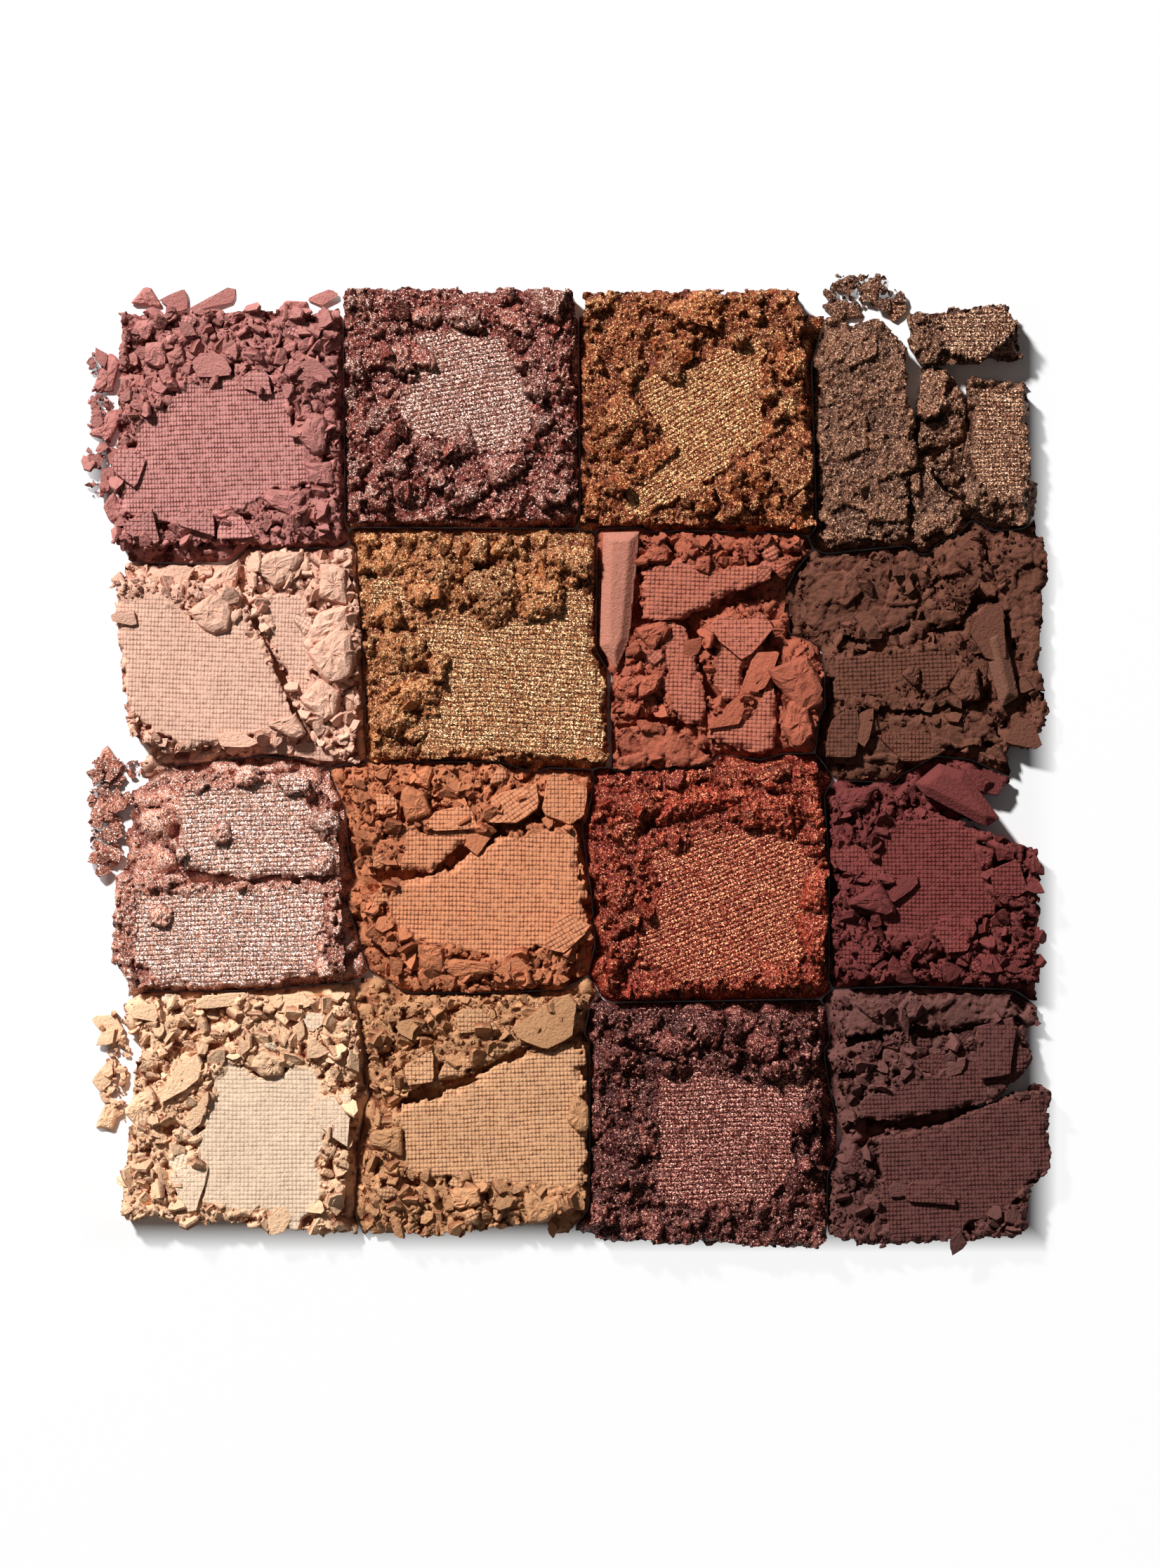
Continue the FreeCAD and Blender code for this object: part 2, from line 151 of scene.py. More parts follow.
SHADES = {
    "mauve": shade((215, 150, 142), (188, 125, 117), thread=(0.27, 0.415), turn=2, seed=11, groove=0.75),
    "rose": shade((172, 108, 90), (146, 66, 52), (240, 209, 193), (100, 26, 16), turn=11, seed=12),
    "amber": shade((166, 89, 46), (156, 72, 28), (242, 194, 136), (92, 28, 4), turn=30, seed=13),
    "taupe": shade((136, 82, 54), (126, 80, 56), (208, 165, 134), (52, 24, 12), seed=14, spread=0.5),
    "peach": shade((246, 197, 172), (242, 190, 164), thread=(0.3, 0.41), turn=-2, seed=21, groove=0.45),
    "gold": shade((176, 106, 60), (196, 122, 70), (243, 203, 152), (98, 40, 10), turn=-3, seed=22),
    "brick": shade((198, 118, 95), (178, 98, 74), thread=(0.39, 0.37), turn=-2, seed=23, spread=0.55),
    "brown": shade((116, 73, 57), (117, 73, 57), thread=(0.39, 0.37), turn=3, seed=24, spread=0.55,
                   groove=0.75),
    "champagne": shade((228, 166, 140), (206, 136, 112), (255, 238, 227), (156, 84, 66), turn=2, seed=31),
    "tan": shade((233, 157, 114), (202, 126, 88), thread=(0.33, 0.41), turn=-1, seed=32),
    "copper": shade((150, 46, 25), (155, 44, 21), (240, 158, 115), (92, 14, 3), turn=20, seed=33),
    "burgundy": shade((132, 66, 62), (120, 58, 55), thread=(0.35, 0.36), turn=0, seed=34, groove=0.75),
    "cream": shade((253, 222, 191), (254, 207, 167), thread=(0.35, 0.39), turn=0, seed=41, groove=0.36),
    "camel": shade((233, 178, 133), (208, 153, 110), thread=(0.33, 0.38), turn=2, seed=42),
    "plum": shade((126, 52, 40), (92, 30, 23), (220, 158, 141), (56, 10, 6), turn=2, seed=43),
    "aubergine": shade((108, 66, 61), (113, 72, 66), thread=(0.33, 0.39), turn=2, seed=44, groove=0.75),
}

# Areas that still carry the cloth's print, as corners read off the photograph in its pixels.
PRINTED = {
    "mauve_slab": [
        [(201, 607), (271, 551), (330, 542), (406, 568), (417, 613), (443, 683), (384, 697), (344, 722),
         (238, 742), (173, 725)],
    ],
    "rose_slab": [
        [(580, 486), (610, 475), (659, 475), (715, 486), (738, 538), (757, 575), (755, 617), (711, 649),
         (669, 635), (622, 621), (585, 621), (571, 589), (576, 556), (594, 519)],
    ],
    "amber_slab": [
        [(1088, 477), (1086, 566), (1093, 621), (1041, 654), (1013, 687), (967, 705), (911, 738),
         (890, 728), (897, 696), (962, 645), (930, 612), (916, 575), (902, 538), (934, 528), (972, 547),
         (990, 519), (1032, 500)],
    ],
    "taupe_middle_plate": [
        [(1204, 542), (1279, 566), (1290, 631), (1283, 691), (1265, 733), (1209, 733)],
    ],
    "taupe_top_plate": [
        [(1325, 454), (1432, 435), (1446, 500), (1349, 510)],
    ],
    "taupe_right_slab": [
        [(1391, 556), (1458, 547), (1463, 696), (1409, 715), (1386, 649)],
        [(1311, 524), (1349, 528), (1356, 612), (1311, 621)],
    ],
    "peach_left_slab": [
        [(160, 860), (230, 850), (270, 886), (344, 876), (372, 932), (409, 988), (428, 1025), (391, 1044),
         (330, 1048), (284, 1062), (230, 1044), (190, 1011), (175, 932)],
    ],
    "peach_right_slab": [
        [(372, 853), (428, 848), (437, 913), (440, 988), (419, 979), (395, 923)],
    ],
    "gold_slab": [
        [(596, 890), (656, 876), (712, 890), (796, 848), (860, 834), (860, 1066), (782, 1076), (707, 1066),
         (642, 1066), (596, 1058), (605, 1025), (633, 988), (623, 941), (600, 909)],
        [(526, 820), (577, 825), (577, 876), (530, 872)],
    ],
    "brick_top_slab": [
        [(915, 809), (965, 804), (1031, 813), (1102, 804), (1128, 796), (1066, 835), (1005, 875),
         (915, 885)],
    ],
    "brick_left_plate": [
        [(952, 892), (970, 888), (996, 954), (1005, 998), (1003, 1033), (970, 1029), (948, 972)],
    ],
    "brick_centre_plate": [
        [(1022, 879), (1093, 875), (1084, 936), (1066, 950), (1058, 1002), (1018, 994)],
    ],
    "brick_lower_plate": [
        [(1005, 1033), (1066, 1024), (1102, 954), (1106, 1068), (1084, 1086), (1009, 1055)],
    ],
    "brown_woven_plate": [
        [(1186, 941), (1348, 922), (1366, 936), (1357, 976), (1322, 989), (1286, 963), (1260, 989),
         (1190, 994)],
    ],
    "champagne_upper_slab": [
        [(250, 1130), (420, 1120), (479, 1216), (481, 1252), (384, 1256), (260, 1240)],
    ],
    "champagne_lower_slab": [
        [(195, 1272), (323, 1268), (384, 1263), (460, 1268), (455, 1343), (462, 1392), (356, 1404),
         (238, 1407), (190, 1362)],
    ],
    "tan_upper_slab": [
        [(582, 1183), (658, 1187), (672, 1206), (620, 1239), (573, 1235)],
    ],
    "tan_lower_slab": [
        [(568, 1263), (705, 1192), (830, 1180), (840, 1287), (836, 1324), (781, 1348), (710, 1362),
         (616, 1343), (568, 1324), (555, 1287)],
    ],
    "copper_slab": [
        [(931, 1209), (990, 1191), (1054, 1182), (1135, 1191), (1162, 1241), (1162, 1332), (1135, 1368),
         (1081, 1386), (981, 1395), (918, 1372), (904, 1341), (945, 1277)],
    ],
    "burgundy_slab": [
        [(1280, 1173), (1334, 1160), (1389, 1187), (1402, 1241), (1411, 1296), (1384, 1323), (1343, 1314),
         (1307, 1332), (1271, 1332), (1257, 1286), (1271, 1250), (1235, 1241)],
    ],
    "cream_slab": [
        [(323, 1503), (365, 1536), (413, 1522), (446, 1522), (457, 1569), (460, 1607), (450, 1663),
         (455, 1706), (441, 1729), (413, 1753), (375, 1720), (295, 1710), (285, 1663), (280, 1635),
         (304, 1578)],
    ],
    "camel_upper_slab": [
        [(630, 1517), (729, 1493), (781, 1484), (700, 1512), (620, 1545)],
    ],
    "camel_lower_slab": [
        [(573, 1569), (686, 1522), (800, 1488), (842, 1500), (842, 1682), (781, 1687), (592, 1673),
         (578, 1635)],
    ],
    "plum_slab": [
        [(940, 1534), (990, 1525), (1036, 1534), (1090, 1557), (1126, 1525), (1149, 1534), (1144, 1575),
         (1126, 1616), (1131, 1652), (1117, 1688), (1090, 1715), (981, 1715), (940, 1706), (936, 1634)],
    ],
    "aubergine_upper_slab": [
        [(1312, 1534), (1357, 1529), (1407, 1498), (1470, 1489), (1470, 1525), (1407, 1561), (1316, 1590),
         (1250, 1600), (1230, 1570)],
    ],
    "aubergine_lower_slab": [
        [(1253, 1620), (1334, 1606), (1434, 1566), (1490, 1561), (1497, 1652), (1452, 1697), (1402, 1733),
         (1343, 1765), (1271, 1769), (1253, 1724), (1257, 1661)],
    ],
}

# Layers of a heap, lowest first: how many to a square millimetre, radius, rise and greatest slope.
HEAPS = {
    "flakes": ((0.15, 0.5, 1.1, (0.15, 0.4), 0.3), (0.4, 0.25, 0.6, (0.1, 0.3), 0.5)),
    "granules": ((0.14, 0.7, 1.8, (0.3, 0.9), 0.4), (0.35, 0.35, 0.8, (0.2, 0.6), 0.5),
                 (1.6, 0.12, 0.3, (0.06, 0.25), 0.6)),
}

# Flakes wider than this can still carry the print.
PRINT_RADIUS = 0.7

# Pieces whose top isn't a heap: broken across, or moulded smooth by the pan's rim.
MOULDED = {"brick_rim_stick", "brown_rim_stick", "burgundy_chunk"}
BROKEN_ACROSS = {
    "brick_right_chunk", "brick_front_chunk", "brown_left_plate", "brown_top_plate", "brown_right_plate",
    "brown_front_plate", "aubergine_top_chunk", "taupe_left_slab", "taupe_wedge_plate", "tan_corner_plate",
}

# Flakes and lumps seen one by one: kind, left, right, top and bottom in the photograph, and where it isn't
# straight its turn in degrees.
LARGE_FLAKES = {
    "mauve": [
        ("plate", 264, 333, 502, 542), ("print", 352, 387, 526, 561), ("lump", 403, 422, 486, 503),
        ("lump", 200, 236, 488, 520), ("lump", 234, 268, 496, 524), ("plate", 405, 470, 512, 545, 10),
        ("lump", 417, 450, 570, 603), ("lump", 427, 466, 598, 640), ("lump", 437, 482, 652, 690),
        ("lump", 385, 436, 696, 740), ("print", 168, 201, 635, 696), ("print", 180, 224, 728, 772),
        ("print", 262, 308, 722, 764), ("print", 308, 360, 728, 768), ("lump", 196, 216, 462, 480),
    ],
    "rose": [
        ("lump", 585, 636, 435, 463), ("lump", 711, 748, 440, 468), ("lump", 780, 808, 514, 593),
        ("lump", 757, 780, 580, 621), ("lump", 548, 580, 649, 677), ("lump", 752, 780, 668, 691),
        ("lump", 547, 592, 490, 532), ("lump", 640, 690, 436, 470), ("lump", 690, 740, 652, 684),
        ("lump", 600, 640, 630, 662), ("lump", 524, 560, 576, 610),
    ],
    "amber": [
        ("plate", 890, 962, 638, 661, 18), ("lump", 934, 976, 489, 547), ("lump", 976, 1032, 407, 463),
        ("lump", 851, 925, 566, 624), ("plate", 1097, 1158, 640, 705, 50), ("lump", 1046, 1094, 646, 690),
        ("lump", 1100, 1150, 500, 546), ("plate", 962, 1018, 690, 720, 12), ("lump", 950, 996, 424, 462),
    ],
    "taupe": [
        ("print", 1325, 1451, 435, 514), ("print", 1205, 1262, 500, 548), ("lump", 1222, 1262, 470, 500),
        ("plate", 1290, 1330, 640, 712, 60), ("lump", 1186, 1226, 640, 690),
        ("plate", 1300, 1348, 520, 600, 80), ("lump", 1380, 1420, 520, 556),
    ],
    "peach": [
        ("lump", 265, 330, 848, 893), ("lump", 270, 308, 792, 826), ("lump", 300, 342, 800, 851),
        ("plate", 207, 270, 797, 844, 20), ("lump", 358, 428, 783, 835), ("lump", 451, 502, 806, 860),
        ("lump", 440, 502, 862, 913), ("lump", 442, 502, 904, 960), ("lump", 438, 484, 969, 1025),
        ("print", 423, 488, 1053, 1086), ("print", 363, 419, 1044, 1081),
        ("plate", 310, 362, 1040, 1066, 8), ("plate", 166, 196, 868, 892), ("lump", 387, 430, 1020, 1048),
    ],
    "gold": [
        ("lump", 540, 610, 900, 960), ("lump", 560, 628, 965, 1012), ("lump", 536, 590, 1000, 1044),
        ("lump", 526, 600, 778, 825), ("lump", 610, 647, 755, 867), ("lump", 665, 740, 802, 862),
        ("lump", 730, 800, 816, 876), ("lump", 782, 852, 774, 820),
    ],
    "brick": [
        ("lump", 921, 952, 776, 804), ("plate", 1097, 1139, 824, 886, 60), ("lump", 880, 912, 962, 992),
        ("lump", 910, 942, 960, 992), ("lump", 906, 948, 886, 926), ("lump", 886, 912, 996, 1022),
        ("lump", 1102, 1172, 928, 1000), ("lump", 1110, 1165, 990, 1068),
        ("plate", 1010, 1072, 1000, 1036, 30), ("print", 1020, 1090, 880, 936),
        ("plate", 1060, 1104, 930, 996, 70), ("lump", 990, 1016, 792, 816),
    ],
    "brown": [
        ("plate", 1220, 1256, 875, 901), ("lump", 1286, 1313, 950, 976), ("lump", 1348, 1405, 950, 1007),
        ("print", 1172, 1225, 1016, 1086), ("print", 1247, 1352, 1033, 1086),
        ("plate", 1212, 1247, 1011, 1064, 70), ("plate", 1436, 1484, 1022, 1068),
        ("plate", 1380, 1440, 870, 930),
    ],
    "champagne": [
        ("lump", 302, 332, 1173, 1202), ("lump", 196, 236, 1090, 1130), ("lump", 196, 240, 1150, 1196),
        ("lump", 216, 250, 1206, 1240), ("print", 396, 440, 1098, 1128), ("lump", 440, 486, 1150, 1190),
        ("lump", 330, 372, 1096, 1122), ("lump", 210, 246, 1290, 1320), ("lump", 440, 480, 1216, 1250),
    ],
    "tan": [
        ("print", 531, 573, 1131, 1164), ("lump", 573, 613, 1126, 1173), ("lump", 592, 618, 1095, 1126),
        ("print", 686, 769, 1112, 1183, 35), ("print", 615, 682, 1150, 1185),
        ("plate", 658, 698, 1173, 1213, 60), ("print", 771, 842, 1102, 1173),
        ("print", 778, 840, 1298, 1357, 30), ("lump", 594, 634, 1343, 1383),
        ("lump", 627, 700, 1362, 1390), ("plate", 700, 760, 1360, 1396, 10),
    ],
    "copper": [
        ("lump", 860, 950, 1124, 1176), ("lump", 945, 1040, 1119, 1170), ("lump", 1040, 1140, 1122, 1180),
        ("lump", 1081, 1135, 1372, 1420), ("lump", 1140, 1185, 1240, 1300),
        ("lump", 1140, 1185, 1305, 1370), ("lump", 860, 910, 1240, 1310),
    ],
    "burgundy": [
        ("plate", 1382, 1427, 1094, 1128), ("print", 1180, 1253, 1205, 1250),
        ("lump", 1212, 1271, 1264, 1300), ("print", 1189, 1275, 1336, 1372),
        ("plate", 1271, 1300, 1248, 1282, 45), ("print", 1330, 1393, 1305, 1359),
        ("print", 1407, 1457, 1223, 1286), ("lump", 1389, 1416, 1200, 1246),
        ("lump", 1190, 1240, 1120, 1160),
    ],
    "cream": [
        ("plate", 231, 276, 1503, 1573, 60), ("plate", 262, 297, 1564, 1611, 60),
        ("print", 243, 290, 1654, 1713), ("print", 455, 498, 1559, 1628), ("lump", 361, 408, 1496, 1538),
        ("plate", 375, 413, 1720, 1762, 50), ("plate", 285, 351, 1410, 1436, 5),
        ("plate", 384, 441, 1412, 1443, 8), ("plate", 191, 229, 1426, 1452),
        ("print", 429, 460, 1439, 1467), ("lump", 180, 216, 1560, 1600),
    ],
    "camel": [
        ("print", 578, 618, 1500, 1550), ("print", 639, 705, 1437, 1474),
        ("plate", 738, 818, 1427, 1486, 25), ("lump", 809, 842, 1555, 1616),
        ("lump", 536, 580, 1600, 1640), ("lump", 640, 690, 1690, 1724), ("lump", 740, 790, 1700, 1740),
    ],
    "plum": [
        ("lump", 986, 1031, 1448, 1482), ("lump", 940, 986, 1471, 1507), ("lump", 879, 934, 1459, 1484),
        ("lump", 1060, 1110, 1470, 1510), ("lump", 880, 920, 1600, 1650),
    ],
    "aubergine": [
        ("lump", 1217, 1266, 1418, 1450), ("print", 1316, 1355, 1489, 1541),
        ("print", 1391, 1452, 1457, 1539), ("plate", 1262, 1294, 1681, 1704),
        ("print", 1303, 1364, 1681, 1720),
    ],
}

# Flakes that lie on the table beside the cakes, in the same terms.
SPILLED_FLAKES = {
    "mauve": [
        ("lump", 131, 166, 512, 561), ("lump", 131, 166, 584, 628), ("plate", 147, 168, 631, 659),
        ("plate", 138, 164, 660, 696), ("lump", 143, 166, 705, 735), ("lump", 191, 226, 412, 436),
        ("plate", 230, 268, 414, 436), ("plate", 278, 338, 412, 436, 20), ("lump", 408, 440, 424, 440),
        ("plate", 440, 484, 409, 434, 30),
    ],
    "taupe": [
        ("lump", 1174, 1228, 421, 452), ("lump", 1190, 1226, 388, 416), ("lump", 1228, 1260, 396, 430),
        ("print", 1263, 1293, 421, 456),
    ],
    "champagne": [
        ("lump", 128, 164, 1070, 1106), ("lump", 130, 160, 1130, 1170), ("lump", 130, 160, 1200, 1232),
    ],
    "cream": [
        ("plate", 130, 168, 1440, 1480), ("plate", 128, 166, 1510, 1556, 60),
        ("lump", 136, 164, 1580, 1610),
    ],
}


def on_table(px, py):
    """A pixel of the photograph as a place on the table, in millimetres."""
    return (px - PHOTO_MIDDLE[0]) * PHOTO_STEP + ARRAY_OFFSET, (PHOTO_MIDDLE[1] - py) * PHOTO_STEP


def flake_places(places):
    """Each flake of a table: its kind, its middle and half sizes in millimetres, and its turn in degrees."""
    for kind, left, right, top, bottom, *turned in places:
        x, y = on_table((left + right) / 2, (top + bottom) / 2)
        half_x, half_y = (right - left) / 2 * PHOTO_STEP, (bottom - top) / 2 * PHOTO_STEP
        yield kind, x, y, half_x, half_y, turned[0] if turned else 0


def smooth_noise(x, y, size, seed):
    """Soft random values from 0 to 1, with features of about that size."""
    table = np.random.default_rng(seed).random((NOISE_TABLE, NOISE_TABLE))
    gx, gy = x / size + NOISE_SHIFT, y / size + NOISE_SHIFT
    ix, iy = np.floor(gx).astype(int), np.floor(gy).astype(int)
    fx, fy = gx - ix, gy - iy
    fx, fy = fx * fx * (3 - 2 * fx), fy * fy * (3 - 2 * fy)
    left, right = ix % NOISE_TABLE, (ix + 1) % NOISE_TABLE
    under, over = iy % NOISE_TABLE, (iy + 1) % NOISE_TABLE
    a, b, c, d = table[under, left], table[under, right], table[over, left], table[over, right]
    return (a * (1 - fx) + b * fx) * (1 - fy) + (c * (1 - fx) + d * fx) * fy


def facets(x, y, size, seed):
    """Facets of about that size: at each place the facet's own number, 0 to 1, and its tilted height."""
    table = np.random.default_rng(seed).random((5, NOISE_TABLE, NOISE_TABLE))
    gx, gy = x / size + NOISE_SHIFT, y / size + NOISE_SHIFT
    ix, iy = np.floor(gx).astype(int), np.floor(gy).astype(int)
    nearest = np.full(np.shape(x), 1e9)
    number = np.zeros(np.shape(x))
    height = np.zeros(np.shape(x))
    for ky in (-1, 0, 1):
        for kx in (-1, 0, 1):
            jx, jy = (ix + kx) % NOISE_TABLE, (iy + ky) % NOISE_TABLE
            dx = gx - (ix + kx + table[0, jy, jx])
            dy = gy - (iy + ky + table[1, jy, jx])
            away = dx * dx + dy * dy
            closer = away < nearest
            nearest = np.where(closer, away, nearest)
            number = np.where(closer, table[2, jy, jx], number)
            tilt = (table[3, jy, jx] - 0.5) * dx + (table[4, jy, jx] - 0.5) * dy
            height = np.where(closer, table[2, jy, jx] - 0.5 + tilt, height)
    return number, height


def underside_outline(node):
    """The outline of a CAD node's flat underside, anticlockwise from above."""
    mesh = frame["nodes"][node].data
    points = np.array([v.co for v in mesh.vertices]) / MM
    floor = points[:, 2].min()
    onward = {}
    edges = set()
    for face in mesh.polygons:
        corners = [tuple(np.round(points[i], 3)) for i in face.vertices]
        if max(c[2] for c in corners) - floor < 0.005:
            for a, b in zip(corners, corners[1:] + corners[:1]):
                edges.add((b[:2], a[:2]))
    for a, b in edges:
        if (b, a) not in edges:
            onward[a] = b
    start = next(iter(sorted(onward)))
    loop = [start]
    while onward[loop[-1]] != start:
        loop.append(onward[loop[-1]])
    return np.array(loop)


def inside_by(x, y, outline):
    """How far each place lies inside a closed outline; negative outside."""
    nearest = np.full(x.shape, 1e9)
    inside = np.zeros(x.shape, bool)
    for (ax, ay), (bx, by) in zip(outline, np.roll(outline, -1, axis=0)):
        ex, ey = bx - ax, by - ay
        share = np.clip(((x - ax) * ex + (y - ay) * ey) / max(ex * ex + ey * ey, 1e-12), 0, 1)
        nearest = np.minimum(nearest, (x - ax - share * ex) ** 2 + (y - ay - share * ey) ** 2)
        if ay != by:
            inside ^= ((ay > y) != (by > y)) & (x < ex * (y - ay) / ey + ax)
    return np.where(inside, 1, -1) * np.sqrt(nearest)


BODIES = frame["record"]["behaviour"]["bodies"]
LOOSE = ("_flakes", "_crumbs")
SOLID_NODES = [node for nodes in BODIES.values() for node in nodes if not node.endswith(LOOSE)]
OUTLINES = {node: underside_outline(node) for node in SOLID_NODES}


def lay_sheet(node, powder):
    """A grid over one piece, in line with the cloth's threads."""
    outline = OUTLINES[node]
    turn = math.radians(powder.turn)
    c, s = math.cos(turn), math.sin(turn)
    steps = np.array([powder.thread[0] / STEPS_ACROSS, powder.thread[1] / STEPS_ALONG])
    turned = outline @ np.array([[c, -s], [s, c]])
    low = np.floor((turned.min(0) - powder.spread - 0.3) / steps).astype(int)
    high = np.ceil((turned.max(0) + powder.spread + 0.3) / steps).astype(int)
    i, j = np.meshgrid(np.arange(low[0], high[0] + 1), np.arange(low[1], high[1] + 1))
    across, along = i * steps[0], j * steps[1]
    x, y = across * c - along * s, across * s + along * c
    sheet = SimpleNamespace(node=node, outline=outline, x=x, y=y, steps=steps, turn=turn, low=low)
    sheet.thread_u, sheet.thread_v = i / STEPS_ACROSS, j / STEPS_ALONG
    sheet.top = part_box(node)[1].z / MM
    sheet.room = inside_by(x, y, outline)
    sheet.limit, sheet.side = half_way_to_others(node, sheet)
    sheet.tone = np.zeros(x.shape)
    return sheet


def half_way_to_others(node, sheet):
    """How far each place lies this side of the middle of the gap to other pieces, and to other shades."""
    pieces = np.full(sheet.x.shape, FAR)
    shades = np.full(sheet.x.shape, FAR)
    own = sheet.room.copy()
    near = 3
    low, high = OUTLINES[node].min(0) - near, OUTLINES[node].max(0) + near
    for other, outline in OUTLINES.items():
        if other == node or (outline.max(0) < low).any() or (outline.min(0) > high).any():
            continue
        away = -inside_by(sheet.x, sheet.y, outline)
        pieces = np.minimum(pieces, away)
        if other.split("_")[0] == node.split("_")[0]:
            own = np.maximum(own, -away)
        else:
            shades = np.minimum(shades, away)
    return (pieces + sheet.room) / 2 - CLEAR_OF_NEIGHBOUR, (shades + own) / 2 - CLEAR_OF_NEIGHBOUR


def chew_edge(sheet, seed, spread, bite):
    """Spreads the edge into the gap and breaks small angular bites out of it."""
    coarse_size, fine_size, fine_share = 1.1, 0.38, 0.45
    coarse, _ = facets(sheet.x, sheet.y, coarse_size, seed)
    fine, _ = facets(sheet.x, sheet.y, fine_size, seed + 1)
    ragged = sheet.room + spread - bite * (coarse ** 3 + fine_share * fine)
    sheet.edge = np.minimum(ragged, sheet.limit)


def print_cloth(sheet, powder):
    """Presses the cloth's grid of grooves into what is left of the printed top."""
    along = np.abs(np.cos(np.pi * sheet.flake_v)) ** 4
    across = np.abs(np.cos(np.pi * sheet.flake_u)) ** 4
    least_left, wear_size = 0.4, 1.4
    left = least_left + (1 - least_left) * smooth_noise(sheet.x, sheet.y, wear_size, powder.seed + 5)
    weaker = 0.4 if powder.shimmer else 0.9
    groove = GROOVE_DEPTH * np.maximum(along, weaker * across) + CROSSING_DEPTH * along * across
    sheet.height -= sheet.printed * left * groove


def place_flake(sheet, rng, x, y, radius, rise, tilt, printed, rounded, turn=None, stretch=None):
    """Lays one flake on the heap, resting on what is under it."""
    margin, jagged, fewest_places, groove_depth = 1.15, 0.16, 3, 0.06
    dome_drop, dome_width, round_grain = 0.3, 0.6, 0.09
    rim_drop, rim_width, flat_grain = 0.1, 0.12, 0.02
    c, s = math.cos(sheet.turn), math.sin(sheet.turn)
    column = (x * c + y * s) / sheet.steps[0] - sheet.low[0]
    row = (-x * s + y * c) / sheet.steps[1] - sheet.low[1]
    reach = margin * radius / sheet.steps
    left, right = int(max(column - reach[0], 0)), int(column + reach[0]) + 2
    under, over = int(max(row - reach[1], 0)), int(row + reach[1]) + 2
    window = (slice(under, over), slice(left, right))
    dx, dy = sheet.x[window] - x, sheet.y[window] - y
    if dx.size == 0:
        return
    turn = rng.uniform(0, 2 * math.pi) if turn is None else turn
    sides = rng.integers(4, 8)
    stretch = rng.uniform(0.55, 1.0) if stretch is None else stretch
    c, s = math.cos(turn), math.sin(turn)
    u, v = dx * c + dy * s, -dx * s + dy * c
    jag = jagged * radius * (sheet.jag[window] - 0.5)
    inset = np.full(dx.shape, 1e9)
    for side in range(sides):
        angle = 2 * math.pi * (side + rng.uniform(-0.3, 0.3)) / sides
        limit = radius * rng.uniform(0.65, 1.0) * math.hypot(math.cos(angle), stretch * math.sin(angle))
        inset = np.minimum(inset, limit - u * math.cos(angle) - v * math.sin(angle))
    inset = inset + jag
    covered = inset > 0
    if covered.sum() < fewest_places:
        return
    below = sheet.height[window][covered]
    base = np.percentile(below, RESTS_ON) + rise
    lean = rng.uniform(0, 2 * math.pi)
    top = base + tilt * (dx * math.cos(lean) + dy * math.sin(lean))
    if rounded:
        top = top - dome_drop * radius * (1 - np.clip(inset / (dome_width * radius), 0, 1)) ** 2
        top = top + round_grain * sheet.rough[window]
    else:
        top = top - rim_drop * np.clip(1 - inset / rim_width, 0, 1)
        top = top + flat_grain * sheet.rough[window]
    higher = covered & (top > sheet.height[window])
    sheet.height[window] = np.where(higher, top, sheet.height[window])
    sheet.printed[window] = np.where(higher, printed, sheet.printed[window])
    sheet.tone[window] = np.where(higher, rng.uniform(-1, 1), sheet.tone[window])
    groove = np.abs(np.cos(np.pi * v / USUAL_THREAD[1])) ** 3
    sheet.height[window] -= np.where(higher, printed * groove_depth * groove, 0)
    sheet.flake_u[window] = np.where(higher, u / USUAL_THREAD[0], sheet.flake_u[window])
    sheet.flake_v[window] = np.where(higher, v / USUAL_THREAD[1], sheet.flake_v[window])


def heap_flakes(sheet, powder, rng):
    """Covers the broken part of the top with flakes, the large ones first."""
    broken_from, fewest_places = 0.2, 20
    print_share = 0.1 if powder.shimmer else 0.45
    rows, columns = np.nonzero((sheet.rubble > broken_from) & (sheet.edge > 0))
    if len(rows) < fewest_places:
        return
    area = len(rows) * sheet.steps[0] * sheet.steps[1]
    for per_area, smallest, largest, rises, lean in HEAPS["granules" if powder.shimmer else "flakes"]:
        for _ in range(int(area * per_area)):
            k = rng.integers(len(rows))
            radius = smallest + (largest - smallest) * rng.random() ** 2
            place = sheet.x[rows[k], columns[k]], sheet.y[rows[k], columns[k]]
            rise = rng.uniform(*rises)
            tilt = rng.uniform(0, lean)
            printed = float(radius > PRINT_RADIUS and rng.random() < print_share)
            place_flake(sheet, rng, *place, radius, rise, tilt, printed, powder.shimmer)


def heap_large_lumps(sheet, places, rng):
    """Adds the lumps that the photograph shows one by one to a granular heap."""
    slope, least_rise, rise_by_width = 0.12, 0.35, 0.3
    for kind, x, y, half_x, half_y, turn in flake_places(places):
        radius = max(half_x, half_y)
        if half_y > half_x and not turn:
            turn = 90
        rise = least_rise + rise_by_width * min(half_x, half_y)
        stretch = min(half_x, half_y) / radius
        place_flake(sheet, rng, x, y, LARGE_FLAKE_GROWTH * radius, rise, slope, float(kind == "print"),
                    kind == "lump", math.radians(turn), stretch)


